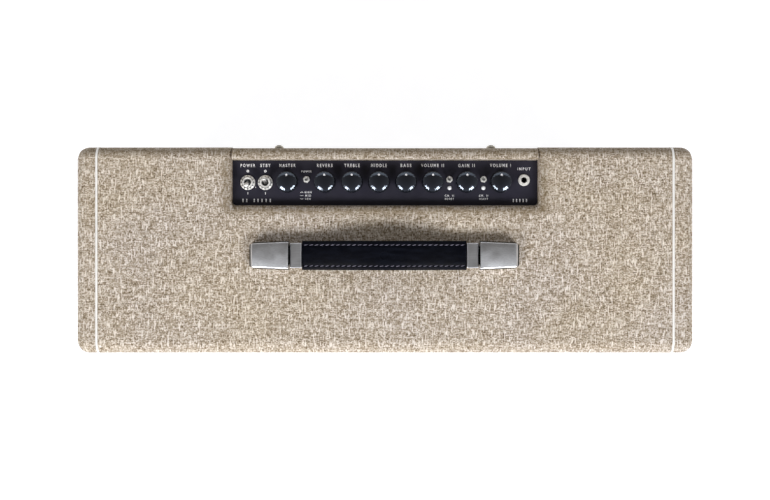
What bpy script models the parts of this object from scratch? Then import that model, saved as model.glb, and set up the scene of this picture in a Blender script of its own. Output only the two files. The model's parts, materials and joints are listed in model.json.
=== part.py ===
"""Valve combo amplifier: a slanted two-speaker cabinet with its controls in a recess in the top.

Metres, +Z up. +X runs along the width, +Y points to the rear, and the origin is the middle of the
footprint at floor level. The rear face is upright and the front face leans back.
"""

from math import atan2, cos, pi, radians, sin

import bmesh
import bpy
from mathutils import Matrix

# Cabinet
WIDTH = 0.672
DEPTH_BASE = 0.2625
DEPTH_TOP = 0.2245
REAR_Y = 0.130
FOOT_HEIGHT = 0.013
TOP_Z = 0.500
EDGE_RADIUS = 0.013
BOARD = 0.015
COVERING = 0.001
GAP = 0.0003
FIT = 0.0006
FAR = 0.4
RIM_HALF_X = 0.3057
RIM_THICK = BOARD + 2 * (COVERING + GAP)
REAR_PANEL = 0.013
REAR_SET_IN = 0.001
PIPING_X = 0.3128
PIPING_HALF = 0.0013

# Front, as depths behind the slanted front face
CLOTH_DEPTH = 0.0042
GRILLE_DEPTH = 0.0058
BAFFLE_DEPTH = 0.0125
LINING_DEPTH = 0.027
CLEAT = 0.014
CLEAT_HALF_X = 0.290
TONGUE_EDGE = 0.010
SPEAKER_X = 0.1565
SPEAKER_Z = 0.235
SPEAKER_HOLE = 0.139
SPEAKER_FLANGE = 0.154

# Control recess
NOTCH_HALF = 0.1670
NOTCH_FRONT = 0.0663
NOTCH_CORNER = 0.004
LIP_RADIUS = 0.0075
PANEL_DROP = 0.0135
PANEL_THICK = 0.003
PANEL_FIT = 0.0004
PANEL_Z = TOP_Z - PANEL_DROP
CHASSIS_HALF_X = 0.232
CHASSIS_FRONT = 0.034
CHASSIS_REAR = 0.1150
CHASSIS_BASE = 0.4235
SHEET = 0.0015
WINDOW_HALF_X = 0.215
WINDOW_Z = (0.4300, 0.4720)
UPPER_PANEL_BASE = 0.335
LOWER_PANEL_TOP = 0.170

KNOB_Y = 0.0921
SHAFT_BORE = 0.0034
KNOBS = {
    "master": -0.1068,
    "reverb": -0.0658,
    "treble": -0.0361,
    "middle": -0.0066,
    "bass": 0.0229,
    "volume_two": 0.0520,
    "gain_two": 0.0892,
    "volume_one": 0.1263,
}
TOGGLE_Y = 0.0915
TOGGLE_TILT = radians(13)
TOGGLES = {"power": (-0.1501, 1), "standby": (-0.1309, -1)}
TOGGLE_PIVOT = 0.0006
MINI_Y = 0.0950
MINI_PIVOT = 0.0002
MINI_TILT = radians(-13)
MINIS = {"sag": -0.0859, "boost": 0.0705, "channel": 0.1078}
LAMP_Y = 0.0856
LAMPS = (0.0706, 0.1077)
INPUT_PLACE = (0.1521, 0.0942)
PLUG_BORE = 0.0033

# Handle
HANDLE_X = -0.0008
HANDLE_Y = 0.0119
STRAP_HALF_X = 0.0883
STRAP_HALF_Y = 0.0157
STRAP_END_RISE = 0.0095
STRAP_RISE = 0.0165
STRAP_THICK = 0.007
COLLAR = (0.0886, 0.1011)
TONGUE_END = 0.115
CAP = (0.1028, 0.1437)
CAP_TALL = (0.0205, 0.0135)
CAP_EDGE = 0.002
CAP_WALL = 0.0024
CAP_POCKET_END = 0.1205

# Fasteners and rear fittings
REAR_SCREW_STAND = 0.0025
REAR_SCREW_RADIUS = 0.0052
REAR_SCREW_SHANK = 0.0016
REAR_SCREW_X = 0.116
REAR_SCREW_Z = 0.485
FOOT_X = 0.284
FOOT_ROWS = (-0.094, 0.092)
REAR_SOCKET_Z = 0.4515
REAR_JACKS = (-0.010, 0.030, 0.090, 0.130)
INLET_X = -0.165

FRONT_BASE_Y = REAR_Y - DEPTH_BASE
FRONT_TOP_Y = REAR_Y - DEPTH_TOP
SLANT = atan2(FRONT_TOP_Y - FRONT_BASE_Y, TOP_Z - FOOT_HEIGHT)
OPENING_Z = (FOOT_HEIGHT + RIM_THICK, TOP_Z - RIM_THICK)


def clear_scene():
    for thing in list(bpy.data.objects):
        bpy.data.objects.remove(thing, do_unlink=True)


def material(name, colour, roughness, metallic=0.0):
    made = bpy.data.materials.new(name)
    made.use_nodes = True
    shader = made.node_tree.nodes["Principled BSDF"]
    shader.inputs["Base Color"].default_value = (*colour, 1.0)
    shader.inputs["Roughness"].default_value = roughness
    shader.inputs["Metallic"].default_value = metallic
    return made


def add(name, bm, finish, matrix=None, smooth=False):
    """Turn a bmesh into an object with its own copy of a finish."""
    bmesh.ops.recalc_face_normals(bm, faces=bm.faces)
    mesh = bpy.data.meshes.new(name)
    bm.to_mesh(mesh)
    bm.free()
    if smooth:
        mesh.shade_smooth()
        mesh.set_sharp_from_angle(angle=radians(35))
    thing = bpy.data.objects.new(name, mesh)
    thing.data.materials.append(finish)
    thing.matrix_world = matrix or Matrix.Identity(4)
    bpy.context.scene.collection.objects.link(thing)
    return thing


def cutter(name, bm, matrix=None):
    thing = add(name, bm, FINISH["tool"], matrix)
    thing.hide_render = True
    thing.display_type = "WIRE"
    return thing


def carve(thing, tool, operation="DIFFERENCE"):
    step = thing.modifiers.new(tool.name, "BOOLEAN")
    step.operation = operation
    step.solver = "EXACT"
    step.object = tool


def front(depth):
    """A plane parallel to the slanted front, a given depth behind it, as y for a height z."""
    slope = (FRONT_TOP_Y - FRONT_BASE_Y) / (TOP_Z - FOOT_HEIGHT)
    return lambda z: FRONT_BASE_Y + slope * (z - FOOT_HEIGHT) + depth / cos(SLANT)


def block(x0, x1, y0, y1, z0, z1, bm=None):
    """A box between two x and two z; y0 and y1 may be planes such as front() gives."""
    bm = bm or bmesh.new()
    at = [y if callable(y) else (lambda z, y=y: y) for y in (y0, y1)]
    corners = [bm.verts.new((x, y(z), z)) for z in (z0, z1) for y in at for x in (x0, x1)]
    for a, b, c, d in (
        (0, 1, 3, 2), (4, 6, 7, 5), (0, 4, 5, 1), (2, 3, 7, 6), (0, 2, 6, 4), (1, 5, 7, 3)
    ):
        bm.faces.new([corners[i] for i in (a, b, c, d)])
    return bm


def turned(profile, steps, bm=None, matrix=None):
    """Spin a profile of (radius, z) points about Z; one that leaves the axis at both ends is solid."""
    bm = bm or bmesh.new()
    old = set(bm.verts)
    points = [bm.verts.new((r, 0, z)) for r, z in profile]
    edges = [bm.edges.new(pair) for pair in zip(points, points[1:])]
    if profile[0][0] > 0:
        edges.append(bm.edges.new((points[-1], points[0])))
    bmesh.ops.spin(
        bm, geom=edges, cent=(0, 0, 0), axis=(0, 0, 1), angle=2 * pi, steps=steps, use_merge=True
    )
    made = [v for v in bm.verts if v not in old]
    bmesh.ops.remove_doubles(bm, verts=made, dist=1e-6)
    if matrix:
        made = [v for v in bm.verts if v not in old]
        bmesh.ops.transform(bm, matrix=matrix, verts=made)
    return bm


def loft(loops, closed=False):
    """Bridge loops of equal length in order, with flat caps unless the last joins the first."""
    bm = bmesh.new()
    rings = [[bm.verts.new(point) for point in loop] for loop in loops]
    pairs = list(zip(rings, rings[1:])) + ([(rings[-1], rings[0])] if closed else [])
    for low, high in pairs:
        for i, corner in enumerate(low):
            j = (i + 1) % len(low)
            bm.faces.new((corner, low[j], high[j], high[i]))
    if not closed:
        bm.faces.new(list(reversed(rings[0])))
        bm.faces.new(rings[-1])
    return bm


def arc(cx, cy, radius, start, end, steps):
    turn = (end - start) / steps
    return [
        (cx + radius * cos(start + turn * i), cy + radius * sin(start + turn * i))
        for i in range(steps + 1)
    ]


def rounded_rectangle(x0, x1, y0, y1, radius, steps):
    quarter = pi / 2
    corners = ((x1, y1, 0), (x0, y1, 1), (x0, y0, 2), (x1, y0, 3))
    outline = []
    for x, y, turn in corners:
        cx = x - radius if x == x1 else x + radius
        cy = y - radius if y == y1 else y + radius
        outline += arc(cx, cy, radius, quarter * turn, quarter * (turn + 1), steps)
    return outline


def shell_block(inset):
    """The cabinet's outer shape, every edge rounded, moved inwards by inset."""
    bm = block(
        inset - WIDTH / 2,
        WIDTH / 2 - inset,
        front(inset),
        REAR_Y - inset,
        FOOT_HEIGHT + inset,
        TOP_Z - inset,
    )
    bmesh.ops.bevel(
        bm, geom=bm.edges, offset=EDGE_RADIUS - inset, offset_type="OFFSET", segments=4,
        profile=0.5, affect="EDGES",
    )
    return bm


def notch_block(inset):
    """The control recess as a cutter, its lip rounded, for a surface inset behind the covering.

    The last facet of the lip runs on a little past the surface, so that the cut is clean.
    """
    lip = LIP_RADIUS - inset
    surface = TOP_Z - inset
    steps = 4
    levels = [(0.0, TOP_Z - 0.040)]
    for i in range(steps):
        angle = pi / 2 * i / steps
        levels.append((lip * (1 - cos(angle)), surface - lip + lip * sin(angle)))
    grown, height = levels[-1]
    past = surface + 0.001
    reach = grown + (lip - grown) * (past - height) / (surface - height)
    levels += [(reach, past), (reach, surface + 0.012)]
    loops = []
    for grow, z in levels:
        wall = NOTCH_HALF + inset + grow
        outline = rounded_rectangle(
            -wall, wall, NOTCH_FRONT - inset - grow, REAR_Y + 0.060, NOTCH_CORNER + inset + grow, 3
        )
        loops.append([(x, y, z) for x, y in outline])
    return loft(loops)


def tunnel_block(grow):
    """The space that runs through the cabinet from front to rear, inside its rims."""
    return block(
        -RIM_HALF_X - grow, RIM_HALF_X + grow, FRONT_BASE_Y - 0.05, REAR_Y + 0.05,
        OPENING_Z[0] - grow, OPENING_Z[1] + grow,
    )


def outline_yz(inset, steps=4):
    """The cabinet's rounded outline seen from the side, moved inwards by inset."""
    reach = EDGE_RADIUS - inset
    low, high = FOOT_HEIGHT + inset, TOP_Z - inset
    plane = front(inset)
    rear = REAR_Y - inset
    upper = reach * sin(pi / 4 + SLANT / 2) / cos(pi / 4 + SLANT / 2)
    lower = reach * sin(pi / 4 - SLANT / 2) / cos(pi / 4 - SLANT / 2)
    corners = (
        (rear - reach, high - reach, reach, 0, pi / 2),
        (plane(high - upper) + upper / cos(SLANT), high - upper, upper, pi / 2, pi - SLANT),
        (plane(low + lower) + lower / cos(SLANT), low + lower, lower, pi - SLANT, 1.5 * pi),
        (rear - reach, low + reach, reach, 1.5 * pi, 2 * pi),
    )
    points = []
    for corner in corners:
        points += arc(*corner, steps)
    return points


def cabinet():
    """Boards with their glued battens, the covering and the two piping loops."""
    inner = COVERING + GAP
    body = cutter("carcass_shape", shell_block(inner))
    recess = cutter("recess_for_board", notch_block(inner))
    top_low = TOP_Z - inner - BOARD
    bottom_high = FOOT_HEIGHT + inner + BOARD
    side_x = WIDTH / 2 - inner - BOARD
    low, high = bottom_high + GAP, top_low - GAP
    boards = {
        "top_board": block(-FAR, FAR, -FAR, FAR, top_low, FAR * 2),
        "bottom_board": block(-FAR, FAR, -FAR, FAR, -FAR, bottom_high),
        "side_board_left": block(-FAR, -side_x, -FAR, FAR, low, high),
        "side_board_right": block(side_x, FAR, -FAR, FAR, low, high),
    }
    cleat_depth = BAFFLE_DEPTH + BOARD + GAP
    cleat = (front(cleat_depth), front(cleat_depth + CLEAT))
    panel_front = REAR_Y - REAR_SET_IN - REAR_PANEL
    rim_x = RIM_HALF_X + inner
    lap = 0.003
    battens = {
        "top_board": [(-CLEAT_HALF_X, CLEAT_HALF_X, *cleat, high - CLEAT, top_low + lap)],
        "bottom_board": [(-CLEAT_HALF_X, CLEAT_HALF_X, *cleat, bottom_high - lap, low + CLEAT)],
    }
    for name, side in (("side_board_left", -1), ("side_board_right", 1)):
        rim = sorted((side * rim_x, side * (side_x + lap)))
        stop = sorted((side * (side_x - CLEAT), side * (side_x + lap)))
        battens[name] = [
            (*rim, front(inner), front(cleat_depth), low, high),
            (*rim, panel_front, REAR_Y - inner, low, high),
            (*stop, panel_front - GAP - CLEAT, panel_front - GAP, low, high),
        ]
    for name, bm in boards.items():
        board = add(name, bm, FINISH["plywood"])
        carve(board, body, "INTERSECT")
        if name == "top_board":
            carve(board, recess)
        for number, box in enumerate(battens[name]):
            carve(board, cutter("%s_batten_%d" % (name, number), block(*box)), "UNION")

    space = cutter("space_for_carcass", shell_block(COVERING))
    carve(space, cutter("tunnel_behind_lining", tunnel_block(COVERING)))
    carve(space, cutter("recess_behind_lining", notch_block(COVERING)))
    lining = COVERING + 0.0004
    middle = block(
        -RIM_HALF_X - lining, RIM_HALF_X + lining, front(LINING_DEPTH), panel_front,
        OPENING_Z[0] - lining, OPENING_Z[1] + lining,
    )
    tools = (
        cutter("tunnel", tunnel_block(0)), cutter("recess", notch_block(0)), space,
        cutter("lining_end", middle),
    )
    groove = PIPING_HALF + GAP
    regions = {
        "covering_left": (-FAR, -PIPING_X - groove),
        "covering_centre": (groove - PIPING_X, PIPING_X - groove),
        "covering_right": (PIPING_X + groove, FAR),
    }
    for name, (x0, x1) in regions.items():
        skin = add(name, shell_block(0), FINISH["vinyl"])
        region = block(x0, x1, -FAR, FAR, -FAR, FAR * 2)
        carve(skin, cutter(name + "_region", region), "INTERSECT")
        for tool in tools:
            carve(skin, tool)

    bead = ((-1, 0.0010), (-1, -0.0002), (-0.5, -0.0008), (0.5, -0.0008), (1, -0.0002), (1, 0.0010))
    for name, side in (("piping_left", -1), ("piping_right", 1)):
        loops = []
        for across, inset in bead:
            x = side * PIPING_X + across * PIPING_HALF
            loops.append([(x, y, z) for y, z in outline_yz(inset)])
        add(name, loft(loops, closed=True), FINISH["piping"])


def feet():
    """Four turned rubber feet, hollow underneath for a screw head."""
    profile = [
        (0, -0.0055), (0.0060, -0.0055), (0.0060, -FOOT_HEIGHT), (0.0165, -FOOT_HEIGHT),
        (0.0190, -GAP), (0, -GAP),
    ]
    for row, y in (("front", FOOT_ROWS[0]), ("rear", FOOT_ROWS[1])):
        for name, x in (("left", -FOOT_X), ("right", FOOT_X)):
            place = Matrix.Translation((x, y, FOOT_HEIGHT))
            add("foot_%s_%s" % (row, name), turned(profile, 20), FINISH["rubber"], place, True)


def rear_panels():
    """The upper panel closes the recess with a tongue and frames the sockets; the lower is plain."""
    y0 = REAR_Y - REAR_SET_IN - REAR_PANEL
    y1 = REAR_Y - REAR_SET_IN
    half = RIM_HALF_X - FIT
    tongue = NOTCH_HALF - FIT
    shoulder = OPENING_Z[1] - FIT
    seam = TOP_Z - TONGUE_EDGE - 0.003
    outline = [
        (-half, UPPER_PANEL_BASE), (half, UPPER_PANEL_BASE), (half, shoulder), (tongue, shoulder),
        (tongue, seam), (-tongue, seam), (-tongue, shoulder), (-half, shoulder),
    ]
    sheet = loft([[(x, y, z) for x, z in outline] for y in (y0, y1)])
    upper = add("upper_rear_panel", sheet, FINISH["vinyl"])
    crest = [(y0, seam - 0.002), (y1, seam - 0.002)]
    crest += arc(y1 - TONGUE_EDGE, TOP_Z - TONGUE_EDGE, TONGUE_EDGE, 0, pi / 2, 4)
    crest += [(y0, TOP_Z)]
    crest_block = loft([[(x, y, z) for y, z in crest] for x in (-tongue, tongue)])
    carve(upper, cutter("tongue_crest", crest_block), "UNION")
    window = block(-WINDOW_HALF_X, WINDOW_HALF_X, 0, FAR, *WINDOW_Z)
    carve(upper, cutter("socket_window", window))
    add(
        "lower_rear_panel",
        block(-half, half, y0, y1, OPENING_Z[0] + FIT, LOWER_PANEL_TOP),
        FINISH["vinyl"],
    )

    to_rear = Matrix.Rotation(-pi / 2, 4, "X")
    stand = REAR_SCREW_STAND + REAR_SET_IN
    wide = REAR_SCREW_RADIUS
    screw = [
        (0, -0.0125), (REAR_SCREW_SHANK, -0.0120), (REAR_SCREW_SHANK, GAP), (wide, GAP),
        (wide * 0.82, stand * 0.7), (wide * 0.5, stand), (0, stand),
    ]
    hole = REAR_SCREW_SHANK + GAP
    for name, side in (("left", -1), ("right", 1)):
        place = Matrix.Translation((side * REAR_SCREW_X, y1, REAR_SCREW_Z)) @ to_rear
        drill = turned([(0, -0.03), (hole, -0.03), (hole, 0.01), (0, 0.01)], 8)
        carve(upper, cutter("rear_screw_hole_" + name, drill, place))
        add("rear_screw_" + name, turned(screw, 12), FINISH["zinc"], place, True)


def speaker_frame(side):
    """Local +Z runs from the baffle's rear face into the cabinet, square to the slanted front."""
    y = front(BAFFLE_DEPTH + BOARD)(SPEAKER_Z)
    turn = Matrix.Rotation(-pi / 2 - SLANT, 4, "X")
    return Matrix.Translation((side * SPEAKER_X, y, SPEAKER_Z)) @ turn


def baffle():
    """Baffle board with two round holes, and the cloth-covered grille with its piping before it."""
    half = RIM_HALF_X - FIT
    low, high = OPENING_Z[0] + FIT, OPENING_Z[1] - FIT
    board = add(
        "baffle_board",
        block(-half, half, front(BAFFLE_DEPTH), front(BAFFLE_DEPTH + BOARD), low, high),
        FINISH["plywood"],
    )
    for name, side in (("left", -1), ("right", 1)):
        profile = [(0, -0.06), (SPEAKER_HOLE, -0.06), (SPEAKER_HOLE, 0.06), (0, 0.06)]
        carve(board, cutter("speaker_hole_" + name, turned(profile, 32), speaker_frame(side)))
    rail = 0.022
    frame = add(
        "grille_frame",
        block(-half, half, front(GRILLE_DEPTH + GAP), front(BAFFLE_DEPTH - GAP), low, high),
        FINISH["plywood"],
    )
    for name, x0, x1 in (("left", rail - half, -rail / 2), ("right", rail / 2, half - rail)):
        window = block(x0, x1, -FAR, FAR, low + rail, high - rail)
        carve(frame, cutter("grille_window_" + name, window))
    add(
        "grille_cloth",
        block(-half, half, front(CLOTH_DEPTH), front(GRILLE_DEPTH), low, high),
        FINISH["grille_cloth"],
    )
    bead = 0.0042
    near, far = front(0.0010), front(CLOTH_DEPTH - GAP)
    loops = []
    for inset, plane in ((0, far), (0, near), (bead, near), (bead, far)):
        wide, base, top = half - inset, low + inset, high - inset
        corners = ((-wide, base), (wide, base), (wide, top), (-wide, top))
        loops.append([(x, plane(z), z) for x, z in corners])
    add("grille_piping", loft(loops, closed=True), FINISH["piping"])


def speakers():
    """Each speaker: a basket with its surround, a magnet, and a cone that moves along its axis."""
    basket = [
        (0.1256 + GAP, -0.0006), (0.1290, 0.0012), (0.1335, -0.0008), (0.1385, 0.0003),
        (SPEAKER_FLANGE, 0.0003), (SPEAKER_FLANGE, 0.0022), (0.1430, 0.0022), (0.1290, 0.0260),
        (0.0800, 0.0560), (0.0620, 0.0640), (0.0300, 0.0640), (0.0300, 0.0620), (0.0610, 0.0620),
        (0.0785, 0.0545), (0.1272, 0.0247), (0.1400, 0.0022), (0.1335, 0.0008), (0.1290, 0.0028),
        (0.1256 + GAP, 0.0010),
    ]
    magnet = [
        (0, 0.1000), (0.0600, 0.1000), (0.0720, 0.0960), (0.0780, 0.0910), (0.0780, 0.0720),
        (0.0650, 0.0690), (0.0600, 0.0644), (0.0285, 0.0644), (0.0285, 0.0860), (0, 0.0860),
    ]
    cone = [
        (0, 0.0285), (0.0180, 0.0305), (0.0290, 0.0370), (0.0420, 0.0405), (0.0700, 0.0295),
        (0.1250, -0.0007), (0.1250, 0.0008), (0.0700, 0.0310), (0.0420, 0.0425), (0.0274, 0.0425),
        (0.0274, 0.0740), (0.0262, 0.0740), (0.0262, 0.0395), (0.0170, 0.0320), (0, 0.0300),
    ]
    for name, side in (("left", -1), ("right", 1)):
        frame = speaker_frame(side)
        bowl = add("speaker_basket_" + name, turned(basket, 20), FINISH["steel_black"], frame, True)
        for number in range(6):
            turn = pi / 3 * number
            place = frame @ Matrix.Translation((0.098 * cos(turn), 0.098 * sin(turn), 0))
            slot = turned([(0, 0.012), (0.020, 0.012), (0.020, 0.060), (0, 0.060)], 8)
            carve(bowl, cutter("basket_slot_%s_%d" % (name, number), slot, place))
        add("speaker_cone_" + name, turned(cone, 20), FINISH["paper"], frame, True)
        add("speaker_magnet_" + name, turned(magnet, 16), FINISH["zinc"], frame, True)


def chassis():
    """Steel tray under the top board; its lid carries the potentiometers and switches."""
    lid_top = PANEL_Z - PANEL_THICK - GAP
    lid_low = lid_top - SHEET
    spots = [(x, KNOB_Y, 0.0039) for x in KNOBS.values()]
    spots += [(x, TOGGLE_Y, 0.0060) for x, _ in TOGGLES.values()]
    spots += [(x, MINI_Y, 0.0026) for x in MINIS.values()]
    through = [(x, LAMP_Y, 0.0019) for x in LAMPS] + [(*INPUT_PLACE, 0.0050)]
    wall = NOTCH_HALF - PANEL_FIT
    rear = REAR_Y - REAR_SET_IN - REAR_PANEL - PANEL_FIT
    turn_y = NOTCH_FRONT + PANEL_FIT + NOTCH_CORNER
    outline = [(wall, rear), (-wall, rear)]
    outline += arc(NOTCH_CORNER - wall, turn_y, NOTCH_CORNER, pi, 1.5 * pi, 3)
    outline += arc(wall - NOTCH_CORNER, turn_y, NOTCH_CORNER, 1.5 * pi, 2 * pi, 3)
    plate = loft([[(x, y, z) for x, y in outline] for z in (PANEL_Z - PANEL_THICK, PANEL_Z)])
    panel = add("control_panel", plate, FINISH["panel"])
    carve(panel, cutter("panel_holes", drills(spots + through, 12)))
    span = (-CHASSIS_HALF_X, CHASSIS_HALF_X, CHASSIS_FRONT, CHASSIS_REAR)
    lid = add("chassis_lid", block(*span, lid_low, lid_top), FINISH["steel"])
    carve(lid, cutter("lid_holes", drills(through, 10)))
    carve(lid, cutter("lid_fittings", control_bodies()), "UNION")
    shafts = bmesh.new()
    for x in KNOBS.values():
        bore = [(0, -0.0085), (SHAFT_BORE, -0.0085), (SHAFT_BORE, 0.01), (0, 0.01)]
        turned(bore, 8, shafts, Matrix.Translation((x, KNOB_Y, PANEL_Z)))
    carve(lid, cutter("shaft_bores", shafts))
    tray = add("chassis_tray", block(*span, CHASSIS_BASE, lid_low - GAP), FINISH["steel"])
    inside = block(
        SHEET - CHASSIS_HALF_X, CHASSIS_HALF_X - SHEET, CHASSIS_FRONT + SHEET, CHASSIS_REAR - SHEET,
        CHASSIS_BASE + SHEET, TOP_Z,
    )
    carve(tray, cutter("tray_inside", inside))
    openings = block(
        INLET_X - 0.0143, INLET_X + 0.0143, CHASSIS_REAR - 0.01, CHASSIS_REAR + 0.01,
        REAR_SOCKET_Z - 0.0103, REAR_SOCKET_Z + 0.0103,
    )
    for x in REAR_JACKS:
        place = Matrix.Translation((x, CHASSIS_REAR, REAR_SOCKET_Z)) @ Matrix.Rotation(-pi / 2, 4, "X")
        turned([(0, -0.01), (0.0052, -0.01), (0.0052, 0.01), (0, 0.01)], 12, openings, place)
    carve(tray, cutter("rear_fitting_holes", openings))

    board_z = 0.4450
    board = add(
        "circuit_board",
        block(-0.130, 0.205, CHASSIS_FRONT + 0.006, 0.084, board_z, board_z + 0.0016),
        FINISH["circuit"],
    )
    parts = bmesh.new()
    height = board_z - CHASSIS_BASE - SHEET - GAP
    for x in (-0.120, 0.195):
        for y in (0.046, 0.078):
            place = Matrix.Translation((x, y, board_z))
            turned([(0, -height), (0.003, -height), (0.003, 0.0008), (0, 0.0008)], 8, parts, place)
    for x in (-0.095, -0.060, 0.060, 0.150):
        place = Matrix.Translation((x, 0.060, board_z))
        turned([(0, 0.0008), (0.010, 0.0008), (0.010, 0.0170), (0, 0.0170)], 12, parts, place)
    carve(board, cutter("board_parts", parts), "UNION")


def drills(spots, steps):
    """Round cutters through the control panel at (x, y, radius)."""
    bm = bmesh.new()
    for x, y, radius in spots:
        profile = [(0, -0.02), (radius, -0.02), (radius, 0.02), (0, 0.02)]
        turned(profile, steps, bm, Matrix.Translation((x, y, PANEL_Z)))
    return bm


def control_bodies():
    """Potentiometers and switch bodies with their bushings and nuts; heights are from the panel."""
    lid = -PANEL_THICK - GAP - SHEET / 2
    pot = [
        (0, -0.0140), (0.0085, -0.0140), (0.0085, lid), (0.0035, lid), (0.0035, 0.0003),
        (0.0052, 0.0003), (0.0052, 0.0020), (0, 0.0020),
    ]
    toggle = [
        (0, -0.0230), (0.0070, -0.0230), (0.0070, lid), (0.0056, lid), (0.0056, 0.0003),
        (0.0080, 0.0003), (0.0080, 0.0020), (0.0066, 0.0030), (0.0058, 0.0042), (0.0036, 0.0042),
        (0.0036, -0.0035), (0, -0.0035),
    ]
    mini = [
        (0, -0.0150), (0.0040, -0.0150), (0.0040, lid), (0.0023, lid), (0.0023, 0.0003),
        (0.0032, 0.0003), (0.0032, 0.0013), (0.0024, 0.0014), (0.0024, 0.0026), (0.0017, 0.0026),
        (0.0017, -0.0022), (0, -0.0022),
    ]
    bm = bmesh.new()
    for x in KNOBS.values():
        turned(pot, 8, bm, Matrix.Translation((x, KNOB_Y, PANEL_Z)))
    for x, _ in TOGGLES.values():
        turned(toggle, 12, bm, Matrix.Translation((x, TOGGLE_Y, PANEL_Z)))
    for x in MINIS.values():
        turned(mini, 8, bm, Matrix.Translation((x, MINI_Y, PANEL_Z)))
    return bm


def controls():
    """Knobs with their shafts, switch levers, the lamp strip and the input socket."""
    knob = [
        (0, -0.0078), (0.0030, -0.0078), (0.0030, 0.0028), (0.0064, 0.0028), (0.0064, 0.0006),
        (0.0119, 0.0006), (0.0119, 0.0017), (0.0114, 0.0030), (0.0111, 0.0116), (0.0098, 0.0140),
        (0.0072, 0.0155), (0, 0.0170),
    ]
    for name, x in KNOBS.items():
        place = Matrix.Translation((x, KNOB_Y, PANEL_Z))
        add("knob_" + name, turned(knob, 16), FINISH["knob"], place, True)
    bat = [
        (0, -0.0022), (0.0022, -0.0012), (0.0022, 0.0006), (0.0015, 0.0026), (0.0016, 0.0060),
        (0.0028, 0.0145), (0.0022, 0.0166), (0, 0.0174),
    ]
    for name, (x, side) in TOGGLES.items():
        pivot = Matrix.Translation((x, TOGGLE_Y, PANEL_Z + TOGGLE_PIVOT))
        lean = Matrix.Rotation(side * TOGGLE_TILT, 4, "X")
        add("lever_" + name, turned(bat, 10), FINISH["nickel"], pivot @ lean, True)
    lever = [
        (0, -0.0012), (0.0009, -0.0006), (0.0007, 0.0020), (0.0012, 0.0090), (0.0008, 0.0100),
        (0, 0.0102),
    ]
    for name, x in MINIS.items():
        pivot = Matrix.Translation((x, MINI_Y, PANEL_Z + MINI_PIVOT))
        lean = Matrix.Rotation(MINI_TILT, 4, "X")
        add("lever_" + name, turned(lever, 8), FINISH["nickel"], pivot @ lean, True)

    strip_z = PANEL_Z - 0.0165
    ends = (LAMPS[0] - 0.006, LAMPS[1] + 0.006)
    carrier = block(*ends, LAMP_Y - 0.0035, LAMP_Y + 0.0035, strip_z, strip_z + 0.0015)
    strip = add("indicator_lamps", carrier, FINISH["lens"])
    lens = [
        (0, -0.0158), (0.0015, -0.0158), (0.0015, 0.0003), (0.0023, 0.0003), (0.0023, 0.0010),
        (0.0014, 0.0020), (0, 0.0023),
    ]
    bm = bmesh.new()
    for x in LAMPS:
        turned(lens, 10, bm, Matrix.Translation((x, LAMP_Y, PANEL_Z)))
    carve(strip, cutter("lamp_lenses", bm), "UNION")

    under = -PANEL_THICK - GAP - SHEET - GAP
    jack = [
        (PLUG_BORE, -0.0270), (0.0072, -0.0270), (0.0072, under), (0.0046, under), (0.0046, 0.0003),
        (0.0062, 0.0003), (0.0062, 0.0024), (0.0046, 0.0026), (0.0046, 0.0034), (PLUG_BORE, 0.0034),
    ]
    place = Matrix.Translation((*INPUT_PLACE, PANEL_Z))
    add("input_jack", turned(jack, 16), FINISH["nickel"], place, True)


def rear_fittings():
    """Mains inlet with its pins, and four sockets in one housing, in the tray's rear wall."""
    z = REAR_SOCKET_Z
    wall = CHASSIS_REAR - SHEET - GAP
    ends = (REAR_JACKS[0] - 0.009, REAR_JACKS[-1] + 0.009)
    body = block(*ends, wall - 0.0250, wall, z - 0.008, z + 0.008)
    housing = add("rear_jack_strip", body, FINISH["knob"])
    bushings = bmesh.new()
    bores = bmesh.new()
    nose = [
        (0, -0.0040), (0.0047, -0.0040), (0.0047, 0.0003), (0.0068, 0.0003), (0.0068, 0.0026),
        (0.0047, 0.0028), (0.0047, 0.0060), (0, 0.0060),
    ]
    bore = [(0, -0.05), (PLUG_BORE, -0.05), (PLUG_BORE, 0.02), (0, 0.02)]
    for x in REAR_JACKS:
        place = Matrix.Translation((x, CHASSIS_REAR, z)) @ Matrix.Rotation(-pi / 2, 4, "X")
        turned(nose, 12, bushings, place)
        turned(bore, 12, bores, place)
    carve(housing, cutter("jack_bushings", bushings), "UNION")
    carve(housing, cutter("jack_bores", bores))

    x, y = INLET_X, CHASSIS_REAR
    body = block(x - 0.014, x + 0.014, y - 0.020, y + 0.0055, z - 0.010, z + 0.010)
    inlet = add("mains_inlet", body, FINISH["knob"])
    flange = block(x - 0.0240, x + 0.0240, y + 0.0003, y + 0.0030, z - 0.0135, z + 0.0135)
    mouth = block(x - 0.0120, x + 0.0120, y - 0.0110, y + 0.02, z - 0.0080, z + 0.0080)
    carve(inlet, cutter("inlet_flange", flange), "UNION")
    carve(inlet, cutter("inlet_mouth", mouth))
    pins = bmesh.new()
    for px, pz in ((x - 0.007, z - 0.002), (x + 0.007, z - 0.002), (x, z + 0.002)):
        block(px - 0.001, px + 0.001, y - 0.0120, y - 0.0010, pz - 0.002, pz + 0.002, bm=pins)
    carve(inlet, cutter("inlet_pins", pins), "UNION")


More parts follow.
